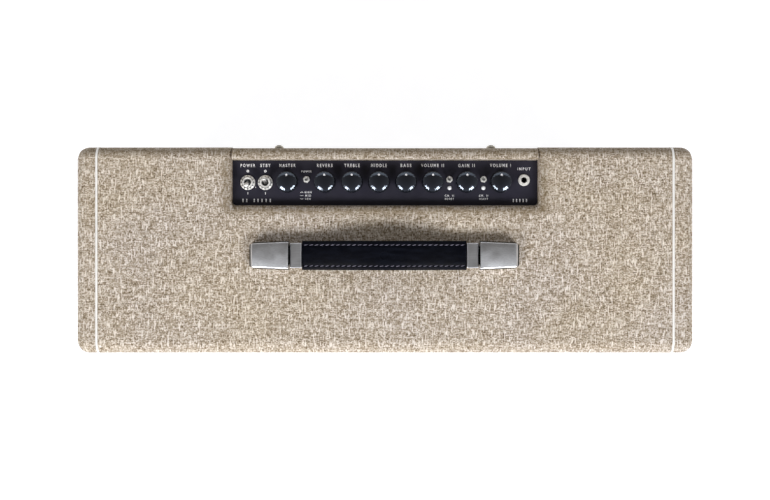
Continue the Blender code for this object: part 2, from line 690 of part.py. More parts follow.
def valves_and_transformers():
    """What hangs below the tray: the valve board with its valves, and two transformers."""
    places = {
        "power_valve_left": -0.055, "power_valve_right": -0.005,
        "preamp_valve_left": 0.045, "preamp_valve_right": 0.085,
    }
    top = CHASSIS_BASE - GAP
    y = 0.076
    plate = block(-0.080, 0.104, y - 0.023, y + 0.023, top - 0.0020, top)
    board = add("valve_socket_board", plate, FINISH["circuit"])
    sockets = bmesh.new()
    power = [
        (0, -0.0085), (0.0165, -0.0085), (0.0165, -0.0255), (0.0150, -0.0270), (0.0158, -0.0340),
        (0.0158, -0.0820), (0.0145, -0.0900), (0.0070, -0.0980), (0, -0.1000),
    ]
    preamp = [
        (0, -0.0085), (0.0105, -0.0085), (0.0105, -0.0450), (0.0050, -0.0510), (0.0030, -0.0550),
        (0, -0.0560),
    ]
    for name, x in places.items():
        wide, shape = (0.0185, power) if name.startswith("power") else (0.0130, preamp)
        socket = [(0, -0.0082), (wide, -0.0082), (wide, -0.0012), (0, -0.0012)]
        place = Matrix.Translation((x, y, CHASSIS_BASE))
        turned(socket, 14, sockets, place)
        add(name, turned(shape, 16), FINISH["glass"], place, True)
    carve(board, cutter("valve_sockets", sockets), "UNION")
    for name, x, half, depth, height in (
        ("mains_transformer", -0.170, 0.045, 0.070, 0.078),
        ("output_transformer", 0.190, 0.036, 0.060, 0.062),
    ):
        bm = block(x - half, x + half, y - depth / 2, y + depth / 2, top - height, top)
        core = add(name, bm, FINISH["steel_black"])
        ease = core.modifiers.new("ease", "BEVEL")
        ease.width = 0.004
        ease.segments = 2


def handle():
    """Arched strap between two collars whose tongues ride in pockets in the end caps."""
    stations = 16
    half, thick = STRAP_HALF_Y, STRAP_THICK / 2
    section = [
        (-half, -0.6), (-half * 0.93, -1), (half * 0.93, -1), (half, -0.6), (half, 0.3),
        (half * 0.86, 0.85), (0, 1.12), (-half * 0.86, 0.85), (-half, 0.3),
    ]
    loops = []
    for i in range(stations + 1):
        along = -cos(pi * i / stations)
        swell = (0.5 + 0.5 * cos(pi * along)) ** 0.75
        z = TOP_Z + STRAP_END_RISE + STRAP_RISE * swell
        x = HANDLE_X + along * STRAP_HALF_X
        loops.append([(x, HANDLE_Y + y, z + thick * t) for y, t in section])
    add("handle_strap", loft(loops), FINISH["leather"], smooth=True)

    fall = (CAP_TALL[0] - CAP_TALL[1]) / (CAP[1] - CAP[0])
    for name, side in (("left", -1), ("right", 1)):
        x0, x1 = sorted(HANDLE_X + side * end for end in COLLAR)
        collar = add(
            "handle_collar_" + name,
            block(x0, x1, HANDLE_Y - 0.0136, HANDLE_Y + 0.0136, TOP_Z + 0.0035, TOP_Z + 0.0155),
            FINISH["nickel"],
        )
        ease = collar.modifiers.new("ease", "BEVEL")
        ease.width = 0.0025
        ease.segments = 2
        x0, x1 = sorted(HANDLE_X + side * end for end in (COLLAR[1] - 0.004, TONGUE_END))
        tongue = block(x0, x1, HANDLE_Y - 0.010, HANDLE_Y + 0.010, TOP_Z + 0.0060, TOP_Z + 0.0090)
        carve(collar, cutter("tongue_" + name, tongue), "UNION")

        loops = []
        for x, wide, tall in (
            (CAP[0], 0.0146, CAP_TALL[0]),
            (CAP[1] - 0.003, 0.0130, CAP_TALL[1]),
            (CAP[1], 0.0116, CAP_TALL[1] - 0.003),
        ):
            outline = [(-wide, GAP), (wide, GAP)]
            outline += arc(wide - CAP_EDGE, tall - CAP_EDGE, CAP_EDGE, 0, pi / 2, 3)
            outline += arc(CAP_EDGE - wide, tall - CAP_EDGE, CAP_EDGE, pi / 2, pi, 3)
            loops.append([(HANDLE_X + side * x, HANDLE_Y + y, TOP_Z + z) for y, z in outline])
        cap = add("handle_cap_" + name, loft(loops), FINISH["nickel"], smooth=True)
        loops = []
        for x in (CAP[0] - 0.004, CAP_POCKET_END):
            roof = CAP_TALL[0] - fall * (x - CAP[0]) - CAP_WALL
            wide = 0.0115
            corners = ((-wide, CAP_WALL), (wide, CAP_WALL), (wide, roof), (-wide, roof))
            loops.append([(HANDLE_X + side * x, HANDLE_Y + y, TOP_Z + z) for y, z in corners])
        carve(cap, cutter("cap_pocket_" + name, loft(loops)))


def finishes():
    return {
        "tool": material("tool", (0.5, 0.5, 0.5), 0.5),
        "plywood": material("plywood", (0.62, 0.47, 0.30), 0.7),
        "vinyl": material("vinyl", (0.49, 0.42, 0.34), 0.75),
        "piping": material("piping", (0.90, 0.90, 0.88), 0.5),
        "panel": material("panel", (0.022, 0.022, 0.030), 0.45),
        "grille_cloth": material("grille_cloth", (0.10, 0.07, 0.05), 0.9),
        "rubber": material("rubber", (0.02, 0.02, 0.02), 0.8),
        "zinc": material("zinc", (0.55, 0.55, 0.53), 0.35, 1.0),
        "nickel": material("nickel", (0.55, 0.55, 0.56), 0.3, 1.0),
        "steel": material("steel", (0.50, 0.50, 0.52), 0.4, 1.0),
        "steel_black": material("steel_black", (0.02, 0.02, 0.02), 0.4),
        "knob": material("knob", (0.015, 0.015, 0.018), 0.25),
        "lens": material("lens", (0.85, 0.87, 0.90), 0.15),
        "paper": material("paper", (0.04, 0.04, 0.04), 0.9),
        "leather": material("leather", (0.008, 0.010, 0.018), 0.4),
        "circuit": material("circuit", (0.03, 0.14, 0.07), 0.5),
        "glass": material("glass", (0.80, 0.85, 0.85), 0.05),
    }


clear_scene()
FINISH = finishes()
cabinet()
feet()
rear_panels()
baffle()
speakers()
chassis()
controls()
rear_fittings()
valves_and_transformers()
handle()
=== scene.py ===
"""Looks for a two-speaker valve combo amplifier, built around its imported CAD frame.

Metres, in the frame's own axes: +X along the width, +Y to the rear, +Z up. Every mesh keeps its
vertices in that frame, so a procedural finish reads one continuous space over the whole cabinet.
"""

import json
from math import atan2, cos, pi, radians, sin, sqrt

import bmesh
import bpy
from mathutils import Matrix, Vector


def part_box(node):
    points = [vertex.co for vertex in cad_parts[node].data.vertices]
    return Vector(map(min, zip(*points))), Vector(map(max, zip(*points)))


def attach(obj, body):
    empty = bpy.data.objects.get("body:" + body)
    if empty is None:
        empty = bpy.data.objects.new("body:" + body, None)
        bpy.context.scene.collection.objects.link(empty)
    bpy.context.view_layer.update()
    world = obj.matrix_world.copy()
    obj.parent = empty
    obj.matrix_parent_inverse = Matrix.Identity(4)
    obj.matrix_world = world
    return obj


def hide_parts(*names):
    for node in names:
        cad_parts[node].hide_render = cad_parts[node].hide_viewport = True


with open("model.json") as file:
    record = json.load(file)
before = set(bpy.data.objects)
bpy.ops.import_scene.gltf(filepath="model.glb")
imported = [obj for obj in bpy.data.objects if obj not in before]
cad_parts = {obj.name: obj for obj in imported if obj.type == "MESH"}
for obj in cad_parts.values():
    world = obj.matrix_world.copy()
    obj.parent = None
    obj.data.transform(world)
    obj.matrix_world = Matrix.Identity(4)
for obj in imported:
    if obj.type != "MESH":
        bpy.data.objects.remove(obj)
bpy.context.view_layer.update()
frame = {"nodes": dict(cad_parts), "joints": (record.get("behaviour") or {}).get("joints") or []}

# Sizes that the CAD model also uses
EDGE_RADIUS = 0.013
COVERING = 0.001
GAP = 0.0003
NOTCH_CORNER = 0.004
LIP_RADIUS = 0.0075
PIPING_HALF = 0.0013
CLOTH_DEPTH = 0.0042
TOGGLE_LEAN = radians(13)
MINI_LEAN = radians(-13)
PLUG_BORE = 0.0033
STRAP_SWELL = 0.75
REAR_SOCKETS = (-0.01, 0.03, 0.09, 0.13)
VALVE_SEAT = 0.0085
FIT = 0.0006
PANEL_FIT = 0.0004
LINING_DEPTH = 0.027
BAFFLE_REAR_DEPTH = 0.0275
SPEAKER_Z = 0.235
STRAP_END_RISE = 0.0095
STRAP_RISE = 0.0165

# Sizes that only the looks use
PRINT_HALF = 0.00003
FAR = 0.4


def low(node):
    """The low corner of a CAD node's box; high() is the other corner."""
    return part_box(node)[0]


def high(node):
    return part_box(node)[1]


def middle(node):
    return (low(node) + high(node)) / 2


def at(x, y, z):
    """The matrix that moves a shape to a place."""
    return Matrix.Translation((x, y, z))


def mm(*points):
    """An outline whose points are given in millimetres."""
    return [(a / 1000, b / 1000) for a, b in points]


# Places that the frame gives
HALF_WIDTH = high("covering_right").x
TOP_Z = high("covering_centre").z
FOOT_TOP = low("covering_centre").z
REAR_Y = high("covering_centre").y
FRONT_BASE_Y = low("covering_centre").y
RIM_HALF_X = high("baffle_board").x + FIT
OPENING_LOW = low("baffle_board").z - FIT
OPENING_HIGH = high("baffle_board").z + FIT
PANEL_Z = high("control_panel").z
NOTCH_HALF = high("control_panel").x + PANEL_FIT
NOTCH_FRONT = low("control_panel").y - PANEL_FIT
PIPING_X = middle("piping_right").x
CHASSIS_BASE = low("chassis_tray").z
CHASSIS_REAR = high("chassis_tray").y
HANDLE_X = middle("handle_strap").x
HANDLE_Y = middle("handle_strap").y
KNOB_NAMES = ("master", "reverb", "treble", "middle", "bass", "volume_two", "gain_two", "volume_one")
SIDES = (("left", -1), ("right", 1))
JOINTS = {joint["name"]: joint for joint in frame["joints"]}
AXIS = Vector(JOINTS["cone_left_travel"]["axis"])
SLANT = atan2(-AXIS.z, AXIS.y)


# ---------------------------------------------------------------- shader graphs


class Graph:
    """A material being built; every method returns an output socket."""

    def __init__(self, name, roughness, metallic=0.0, **settings):
        self.material = bpy.data.materials.new(name)
        self.material.use_nodes = True
        self.tree = self.material.node_tree
        self.shader = self.tree.nodes["Principled BSDF"]
        self.set("Roughness", roughness)
        self.set("Metallic", metallic)
        for socket, value in settings.items():
            self.set(socket.replace("_", " "), value)
        self.place = self.tree.nodes.new("ShaderNodeTexCoord").outputs["Object"]

    def set(self, socket, value):
        target = self.shader.inputs[socket]
        if isinstance(value, bpy.types.NodeSocket):
            self.tree.links.new(value, target)
        else:
            target.default_value = (*value, 1.0) if isinstance(value, tuple) else value

    def node(self, kind, inputs=(), **settings):
        made = self.tree.nodes.new("ShaderNode" + kind)
        for key, value in settings.items():
            setattr(made, key, value)
        for socket, value in dict(inputs).items():
            if isinstance(value, bpy.types.NodeSocket):
                self.tree.links.new(value, made.inputs[socket])
            else:
                made.inputs[socket].default_value = value
        return made

    def math(self, operation, a, b=0.0, c=0.0):
        return self.node("Math", {0: a, 1: b, 2: c}, operation=operation).outputs[0]

    def split(self, vector):
        return self.node("SeparateXYZ", {0: vector}).outputs

    def join(self, x, y, z=0.0):
        return self.node("CombineXYZ", {0: x, 1: y, 2: z}).outputs[0]

    def scaled(self, vector, factors):
        return self.node("VectorMath", {0: vector, 1: factors}, operation="MULTIPLY").outputs[0]

    def noise(self, vector, scale=1.0, detail=2.0, roughness=0.5):
        made = self.node("TexNoise", {"Scale": scale, "Detail": detail, "Roughness": roughness})
        self.tree.links.new(vector, made.inputs["Vector"])
        return made.outputs["Fac"]

    def cell_edges(self, scale):
        inputs = {"Vector": self.place, "Scale": scale}
        return self.node("TexVoronoi", inputs, feature="DISTANCE_TO_EDGE").outputs["Distance"]

    def length(self, vector):
        return self.node("VectorMath", {0: vector}, operation="LENGTH").outputs["Value"]

    def ramp(self, value, *stops):
        made = self.node("ValToRGB", {"Fac": value})
        points = made.color_ramp.elements
        while len(points) < len(stops):
            points.new(0.5)
        for point, (place, colour) in zip(points, stops):
            point.position = place
            point.color = (*colour, 1.0)
        return made.outputs["Color"]

    def span(self, value, from_low, from_high, to_low=0.0, to_high=1.0):
        inputs = {"Value": value, 1: from_low, 2: from_high, 3: to_low, 4: to_high}
        return self.node("MapRange", inputs).outputs["Result"]

    def mix(self, factor, a, b, kind="MIX"):
        made = self.node("Mix", data_type="RGBA", blend_type=kind)
        for socket, value in (("Factor_Float", factor), ("A_Color", a), ("B_Color", b)):
            target = next(i for i in made.inputs if i.identifier == socket)
            if isinstance(value, bpy.types.NodeSocket):
                self.tree.links.new(value, target)
            else:
                target.default_value = (*value, 1.0) if isinstance(value, tuple) else value
        return next(o for o in made.outputs if o.identifier == "Result_Color")

    def blend(self, factor, a, b):
        """a where factor is 0 and b where it is 1, for plain numbers."""
        return self.math("ADD", self.math("MULTIPLY", self.math("SUBTRACT", b, a), factor), a)

    def bump(self, height, depth, strength=1.0):
        made = self.node("Bump", {"Height": height, "Distance": depth, "Strength": strength})
        self.set("Normal", made.outputs["Normal"])

    def wear(self, low_value, high_value):
        """Uneven gloss, as from handling."""
        value = self.noise(self.place, 60.0, 4.0)
        self.set("Roughness", self.span(value, 0.3, 0.7, low_value, high_value))


def surface_plane(graph):
    """(u, v) on whichever main plane the surface faces most, so a cloth runs the right way on each side."""
    x, y, z = graph.split(graph.place)
    normal = graph.node("NewGeometry").outputs["True Normal"]
    nx, ny, nz = (graph.math("ABSOLUTE", part) for part in graph.split(normal))
    sideways = graph.math("GREATER_THAN", nx, graph.math("MAXIMUM", ny, nz))
    upward = graph.math("GREATER_THAN", nz, ny)
    u = graph.blend(sideways, x, y)
    v = graph.blend(upward, z, graph.blend(sideways, y, z))
    v = graph.blend(sideways, v, z)
    return u, v


def woven(graph, u, v, pitch, run, ply):
    """A plain weave: each thread carries its own slow noise along its length, so the cloth looks spun.

    Returns the tone of the upper thread, the height, the crosswise thread's own tone, and the cell.
    """
    seed = 17.31
    row = graph.math("FLOOR", graph.math("DIVIDE", v, pitch))
    column = graph.math("FLOOR", graph.math("DIVIDE", u, pitch))
    across = graph.noise(
        graph.join(graph.math("DIVIDE", u, run), graph.math("MULTIPLY", row, seed)), 1.0, ply
    )
    along = graph.noise(
        graph.join(graph.math("DIVIDE", v, run), graph.math("MULTIPLY_ADD", column, seed, 5.7), 3.1), 1.0, ply
    )
    over = graph.math("FLOORED_MODULO", graph.math("ADD", row, column), 2.0)
    tone = graph.blend(over, across, along)
    round_v = graph.math("ABSOLUTE", graph.math("SINE", graph.math("MULTIPLY", v, pi / pitch)))
    round_u = graph.math("ABSOLUTE", graph.math("SINE", graph.math("MULTIPLY", u, pi / pitch)))
    height = graph.blend(over, round_v, round_u)
    return tone, height, across, graph.join(column, row)


def vinyl_finish():
    """Fawn covering printed and embossed like coarse linen, with pale slubs running both ways."""
    g = Graph("fawn_vinyl", 0.62, Specular_IOR_Level=0.3)
    u, v = surface_plane(g)
    thread, run, grain, flake = 0.00118, 0.008, 0.00105, 0.0019
    along, across, slub_along, slub_across = (
        g.noise(g.scaled(g.join(first, second, seed), (fine / thread, slow / run, 1.0)), 1.0, 1.0)
        for first, second, seed, fine, slow in (
            (u, v, 0.0, 1.0, 1.0), (v, u, 7.7, 1.0, 1.0), (u, v, 3.1, 0.66, 0.82), (v, u, 5.3, 0.6, 0.7),
        )
    )
    along, across = g.span(along, 0.28, 0.72), g.span(across, 0.28, 0.72)
    value = g.math("MULTIPLY_ADD", along, 0.13, g.math("MULTIPLY", across, 0.19))
    for first, second, seed, long, share in (
        (u, v, 0.0, flake, 0.18), (v, u, 4.0, flake, 0.28), (u, v, 9.0, grain, 0.22)
    ):
        cells = g.scaled(g.join(first, second, seed), (1 / grain, 1 / long, 1.0))
        cells = g.node("VectorMath", {0: cells}, operation="FLOOR").outputs[0]
        speckle = g.node("TexWhiteNoise", {"Vector": cells}).outputs["Value"]
        value = g.math("MULTIPLY_ADD", speckle, share, value)
    colour = g.ramp(
        value,
        (0.19, (0.11, 0.077, 0.04)),
        (0.36, (0.255, 0.2, 0.134)),
        (0.51, (0.42, 0.356, 0.278)),
        (0.66, (0.618, 0.555, 0.479)),
        (0.82, (0.85, 0.802, 0.74)),
    )
    slub = g.math("MULTIPLY", g.span(slub_across, 0.62, 0.72), 0.4)
    slub = g.math("MAXIMUM", g.span(slub_along, 0.59, 0.67), slub)
    colour = g.mix(g.math("MULTIPLY", slub, 0.76), colour, (0.86, 0.806, 0.74))
    cloud = g.noise(g.join(u, v), 9.0, 3.0)
    tint = g.ramp(cloud, (0.35, (1.0, 0.97, 0.92)), (0.65, (0.985, 0.975, 1.0)))
    colour = g.mix(1.0, colour, tint, "MULTIPLY")

    # Painted shade: darker round the recess's lip and along the top's rear edge, where these roundovers turn
    # away from the front lights
    lip, bend = 0.002, 0.016
    x, y, z = g.split(g.place)
    aside = g.math("MAXIMUM", g.math("SUBTRACT", g.math("ABSOLUTE", x), NOTCH_HALF + lip), 0.0)
    ahead = g.math("MAXIMUM", g.math("SUBTRACT", NOTCH_FRONT - lip, y), 0.0)
    away = g.length(g.join(aside, ahead))
    # Painted shade round the recess's lip, strongest 4 mm from it and gone by 12 mm
    lip_shade = g.math("MINIMUM", g.span(away, 0.0, 0.004, 0.35, 1.0), g.span(away, 0.004, 0.012, 1.0, 0.0))
    lip_shade = g.math("MULTIPLY", lip_shade, g.math("LESS_THAN", y, high("control_panel").y))
    # Painted shade along the top's rear edge
    rear = g.math("MULTIPLY", g.span(y, REAR_Y - 0.012, REAR_Y - 0.005), 0.85)
    # Both painted shades are kept to the top 16 mm of the cabinet
    painted_shade = g.math("MULTIPLY", g.math("MAXIMUM", lip_shade, rear), g.math("GREATER_THAN", z, TOP_Z - bend))
    colour = g.mix(g.math("MULTIPLY", painted_shade, 0.56), colour, (0.165, 0.12, 0.062))
    g.set("Base Color", colour)
    both = g.math("MULTIPLY", g.math("ADD", across, along), 0.5)
    g.set("Roughness", g.span(both, 0.2, 0.8, 0.74, 0.54))
    g.bump(both, 0.0003, 0.8)
    return g.material


def grille_finish():
    """Dark brown basket weave with a pale thread showing at every fifth crossing, in a diagonal order."""
    g = Graph("grille_weave", 0.85, Sheen_Weight=0.08)
    x, _, z = g.split(g.place)
    pitch = 0.0017
    tone, height, across, cell = woven(g, x, z, pitch, 0.012, 2.0)
    colour = g.ramp(
        tone, (0.32, (0.012, 0.008, 0.005)), (0.55, (0.034, 0.023, 0.015)), (0.75, (0.085, 0.062, 0.04))
    )
    column, row, _ = g.split(cell)
    order = g.math("FLOORED_MODULO", g.math("MULTIPLY_ADD", row, 2.0, column), 5.0)
    pale = g.math("MULTIPLY", g.math("LESS_THAN", order, 0.5), g.span(height, 0.25, 0.7))
    pale = g.math("MULTIPLY", pale, g.span(across, 0.35, 0.55, 0.45, 0.95))
    g.set("Base Color", g.mix(pale, colour, (0.33, 0.26, 0.17)))
    g.bump(height, 0.0006, 0.9)
    return g.material


def plywood_finish():
    """Birch faces with long grain and dark and light plies on the cut edges."""
    g = Graph("birch_ply", 0.62)
    u, v = surface_plane(g)
    grain = g.noise(g.join(g.math("MULTIPLY", u, 9.0), g.math("MULTIPLY", v, 210.0)), 1.0, 4.0)
    colour = g.ramp(grain, (0.3, (0.42, 0.28, 0.15)), (0.55, (0.6, 0.44, 0.27)), (0.75, (0.7, 0.55, 0.37)))
    knots = g.span(g.noise(g.join(u, v), 14.0, 1.0), 0.62, 0.78)
    g.set("Base Color", g.mix(g.math("MULTIPLY", knots, 0.35), colour, (0.34, 0.21, 0.11)))
    g.bump(grain, 0.0002, 0.5)
    return g.material


def metal_finish(name, colour, rough, stretch, depth=0.00002, metallic=1.0):
    """Metal with fine lines along the stretched axis and slightly uneven gloss."""
    g = Graph(name, rough, metallic)
    lines = g.noise(g.scaled(g.place, stretch), 1.0, 3.0)
    shade = tuple(c * 0.82 for c in colour)
    g.set("Base Color", g.ramp(lines, (0.3, shade), (0.7, colour)))
    blotch = g.noise(g.place, 90.0, 3.0)
    g.set("Roughness", g.span(blotch, 0.3, 0.7, rough * 0.9, rough * 1.12))
    g.bump(lines, depth, 0.35)
    return g.material


def plastic_finish(name, dark, light, rough, grain=900.0, depth=0.00003, strength=0.3, **settings):
    """Moulded or painted surface: a slight mottle, fine orange peel and uneven gloss."""
    g = Graph(name, rough, **settings)
    mottle = g.noise(g.place, 45.0, 4.0)
    g.set("Base Color", g.ramp(mottle, (0.35, dark), (0.65, light)))
    g.wear(rough * 0.85, rough * 1.2)
    g.bump(g.noise(g.place, grain, 2.0), depth, strength)
    return g.material


def leather_finish():
    """Black leather with a blue cast, pebbled grain, and long soft folds that vary its tone and gloss."""
    g = Graph("strap_leather", 0.42, Specular_IOR_Level=0.08)
    cells = g.cell_edges(760.0)
    crease = g.span(cells, 0.0, 0.35)
    folds = g.noise(g.scaled(g.place, (55.0, 260.0, 260.0)), 1.0, 4.0)
    colour = g.ramp(crease, (0.0, (0.001, 0.0012, 0.0026)), (1.0, (0.002, 0.0028, 0.007)))
    g.set("Base Color", g.mix(g.span(folds, 0.45, 0.75), colour, (0.0036, 0.0048, 0.01)))
    g.set("Roughness", g.span(folds, 0.3, 0.7, 0.34, 0.5))
    g.bump(g.math("ADD", crease, g.math("MULTIPLY", folds, 0.8)), 0.00012, 0.6)
    return g.material


def glass_finish():
    """Clear valve glass; its silvered dome is a piece of its own."""
    g = Graph("valve_glass", 0.03, Transmission_Weight=1.0, IOR=1.45)
    streak = g.noise(g.scaled(g.place, (60.0, 60.0, 15.0)), 1.0, 1.0)
    g.set("Base Color", g.ramp(streak, (0.3, (0.93, 0.96, 0.96)), (0.7, (0.99, 1.0, 1.0))))
    return g.material


def paper_finish():
    """Pressed paper pulp of a speaker cone."""
    g = Graph("cone_pulp", 0.9)
    fibre = g.noise(g.place, 420.0, 5.0, 0.7)
    g.set("Base Color", g.ramp(fibre, (0.35, (0.022, 0.021, 0.02)), (0.7, (0.06, 0.057, 0.053))))
    g.bump(fibre, 0.00015, 0.6)
    return g.material


def board_finish():
    """Green solder mask over tracks."""
    g = Graph("solder_mask", 0.4)
    tracks = g.node("TexBrick", {"Vector": g.place, "Scale": 90.0, "Mortar Size": 0.03}).outputs["Fac"]
    g.set("Base Color", g.mix(tracks, (0.02, 0.11, 0.055), (0.05, 0.22, 0.11)))
    g.bump(tracks, 0.00004, 0.5)
    return g.material


def label_finish():
    """Cream paper disc with a printed brown ring near its rim, centred on either magnet."""
    g = Graph("magnet_label", 0.6)
    x, _, z = g.split(g.place)
    spot = middle("speaker_magnet_right")
    aside = g.math("SUBTRACT", g.math("ABSOLUTE", x), spot.x)
    away = g.length(g.join(aside, g.math("SUBTRACT", z, spot.z)))
    ring_radius, ring_half = 0.051, 0.0014
    printed = g.math("LESS_THAN", g.math("ABSOLUTE", g.math("SUBTRACT", away, ring_radius)), ring_half)
    fibre = g.noise(g.place, 300.0, 4.0)
    paper = g.ramp(fibre, (0.3, (0.52, 0.46, 0.34)), (0.7, (0.66, 0.6, 0.47)))
    g.set("Base Color", g.mix(printed, paper, (0.1, 0.045, 0.02)))
    g.bump(fibre, 0.00004, 0.4)
    return g.material


def lamination_finish():
    """Thin varnished steel sheets stacked along Y, seen on their edges."""
    g = Graph("laminations", 0.45, 0.8)
    _, y, _ = g.split(g.place)
    sheet = 0.0006
    stripe = g.math("ABSOLUTE", g.math("SINE", g.math("MULTIPLY", y, pi / sheet)))
    g.set("Base Color", g.ramp(stripe, (0.1, (0.03, 0.028, 0.026)), (0.8, (0.17, 0.16, 0.15))))
    g.bump(stripe, 0.0001, 0.8)
    return g.material


def finishes():
    """Every material by its short name."""
    made = {
        "vinyl": vinyl_finish(),
        "plywood": plywood_finish(),
        "grille": grille_finish(),
        "label": label_finish(),
        "leather": leather_finish(),
        "paper": paper_finish(),
        "circuit": board_finish(),
        "glass": glass_finish(),
        "laminations": lamination_finish(),
        "panel": plastic_finish(
            "panel_enamel", (0.0165, 0.0158, 0.0265), (0.022, 0.0208, 0.0345), 0.42, 2600.0, 0.00002,
            Specular_IOR_Level=0.35,
        ),
        "knob": plastic_finish(
            "knob_gloss", (0.0055, 0.006, 0.009), (0.0085, 0.0092, 0.0135), 0.1, 500.0, 0.00001,
            IOR=2.0, Specular_Tint=(0.74, 0.85, 1.0),
        ),
    }
    # Short name, then name, dark and light colour, roughness, grain's scale, depth and strength
    for key, *values in (
        ("piping", "piping_cord", (0.88, 0.87, 0.84), (0.95, 0.94, 0.91), 0.42, 700.0, 0.00006),
        ("rubber", "foot_rubber", (0.012, 0.012, 0.012), (0.026, 0.026, 0.026), 0.75, 1200.0, 0.0001),
        ("print", "panel_print", (0.86, 0.86, 0.88), (0.95, 0.95, 0.97), 0.5, 2600.0, 0.00001),
        ("dot", "knob_pointer", (0.8, 0.8, 0.82), (0.9, 0.9, 0.92), 0.4),
        ("mica", "mica_disc", (0.6, 0.56, 0.48), (0.75, 0.71, 0.63), 0.35),
        ("lens", "lamp_lens", (0.86, 0.87, 0.9), (0.93, 0.94, 0.96), 0.16),
        ("thread", "strap_thread", (0.17, 0.16, 0.215), (0.25, 0.235, 0.305), 0.7, 4000.0, 0.0001, 0.8),
        ("moulding", "black_moulding", (0.014, 0.014, 0.014), (0.024, 0.024, 0.025), 0.45, 1500.0),
        ("enamel", "transformer_enamel", (0.012, 0.012, 0.013), (0.02, 0.02, 0.021), 0.3, 400.0, 0.0001),
        ("basket", "basket_paint", (0.012, 0.012, 0.013), (0.022, 0.022, 0.024), 0.38, 300.0, 0.0001),
        ("ferrite", "ferrite", (0.03, 0.03, 0.032), (0.06, 0.06, 0.062), 0.6, 800.0, 0.0002, 0.6),
        ("spider", "spider_cloth", (0.42, 0.28, 0.1), (0.55, 0.38, 0.16), 0.85, 1500.0, 0.0003, 0.8),
        ("gasket", "cork_gasket", (0.16, 0.11, 0.07), (0.3, 0.21, 0.13), 0.9, 700.0, 0.0004, 0.9),
    ):
        made[key] = plastic_finish(*values)
    # Short name, then name, colour, roughness, scale of the lines along each axis, depth, metallic
    for key, *values in (
        ("bright", "bright_nickel", (0.96, 0.95, 0.92), 0.42, (900.0, 900.0, 120.0)),
        ("nut", "frosted_nickel", (0.95, 0.94, 0.91), 0.42, (900.0, 900.0, 120.0), 0.00002, 0.4),
        ("screw", "dull_nickel", (0.4, 0.37, 0.31), 0.38, (500.0, 500.0, 500.0), 0.00005),
        ("satin", "satin_nickel", (0.82, 0.84, 0.88), 0.32, (70.0, 1800.0, 1800.0), 0.00003),
        ("steel", "zinc_sheet", (0.58, 0.59, 0.6), 0.34, (40.0, 700.0, 700.0), 0.00004),
        ("brass", "pin_brass", (0.75, 0.58, 0.3), 0.25, (600.0, 600.0, 600.0)),
        ("plate", "valve_plate", (0.11, 0.11, 0.12), 0.5, (900.0, 900.0, 60.0), 0.0001),
        ("getter", "getter_mirror", (0.72, 0.72, 0.74), 0.08, (50.0, 50.0, 50.0)),
    ):
        made[key] = metal_finish(*values)
    return made


# ---------------------------------------------------------------- shapes


def front(depth):
    """A plane parallel to the slanted front, a given depth behind it, as y for a height z."""
    return lambda z: FRONT_BASE_Y + (z - FOOT_TOP) * sin(SLANT) / cos(SLANT) + depth / cos(SLANT)


def eased(bm, edges, radius, segments):
    """Round some edges."""
    bmesh.ops.bevel(
        bm, geom=edges, offset=radius, offset_type="OFFSET", segments=segments, profile=0.5, affect="EDGES"
    )


def block(x0, x1, y0, y1, z0, z1, bm=None, ease=0.0, segments=2):
    """A box, with its edges rounded by ease; y0 and y1 may be planes such as front() gives."""
    bm = bm or bmesh.new()
    planes = [y if callable(y) else (lambda z, y=y: y) for y in (y0, y1)]
    corners = [bm.verts.new((x, y(z), z)) for z in (z0, z1) for y in planes for x in (x0, x1)]
    faces = [
        bm.faces.new([corners[i] for i in loop])
        for loop in ((0, 1, 3, 2), (4, 6, 7, 5), (0, 4, 5, 1), (2, 3, 7, 6), (0, 2, 6, 4), (1, 5, 7, 3))
    ]
    if ease:
        edges = dict.fromkeys(edge for face in faces for edge in face.edges)
        eased(bm, list(edges), ease, segments)
    return bm


def turned(profile, steps=48, matrix=None, bm=None, warp=None):
    """Spin (radius, z) points about Z; warp(radius, z, angle) may shape the radius, as for flutes."""
    bm = bm or bmesh.new()
    closed = profile[0][0] > 0
    rings = []
    for radius, z in profile:
        if radius == 0:
            rings.append([bm.verts.new((0, 0, z))])
            continue
        ring = []
        for i in range(steps):
            angle = 2 * pi * i / steps
            r = warp(radius, z, angle) if warp else radius
            ring.append(bm.verts.new((r * cos(angle), r * sin(angle), z)))
        rings.append(ring)
    pairs = list(zip(rings, rings[1:])) + ([(rings[-1], rings[0])] if closed else [])
    for a, b in pairs:
        for i in range(steps):
            j = (i + 1) % steps
            loop = [a[i % len(a)], a[j % len(a)], b[j % len(b)], b[i % len(b)]]
            bm.faces.new(list(dict.fromkeys(loop)))
    if matrix:
        bmesh.ops.transform(bm, matrix=matrix, verts=[v for ring in rings for v in ring])
    return bm


def loft(loops, closed=False, bm=None):
    """Bridge loops of equal length in order, with flat caps unless the last joins the first."""
    bm = bm or bmesh.new()
    rings = [[bm.verts.new(point) for point in loop] for loop in loops]
    for a, b in list(zip(rings, rings[1:])) + ([(rings[-1], rings[0])] if closed else []):
        for i in range(len(a)):
            j = (i + 1) % len(a)
            bm.faces.new((a[i], a[j], b[j], b[i]))
    if not closed:
        bm.faces.new(list(reversed(rings[0])))
        bm.faces.new(rings[-1])
    return bm


def arc(cx, cy, radius, start, end, steps):
    turn = (end - start) / steps
    angles = [start + turn * i for i in range(steps + 1)]
    return [(cx + radius * cos(angle), cy + radius * sin(angle)) for angle in angles]


def rounded_rectangle(x0, x1, y0, y1, radius, steps):
    """An outline with each corner drawn in a number of steps."""
    outline = []
    for x, y, turn in ((x1, y1, 0), (x0, y1, 1), (x0, y0, 2), (x1, y0, 3)):
        cx = x - radius if x == x1 else x + radius
        cy = y - radius if y == y1 else y + radius
        outline += arc(cx, cy, radius, pi / 2 * turn, pi / 2 * (turn + 1), steps)
    return outline


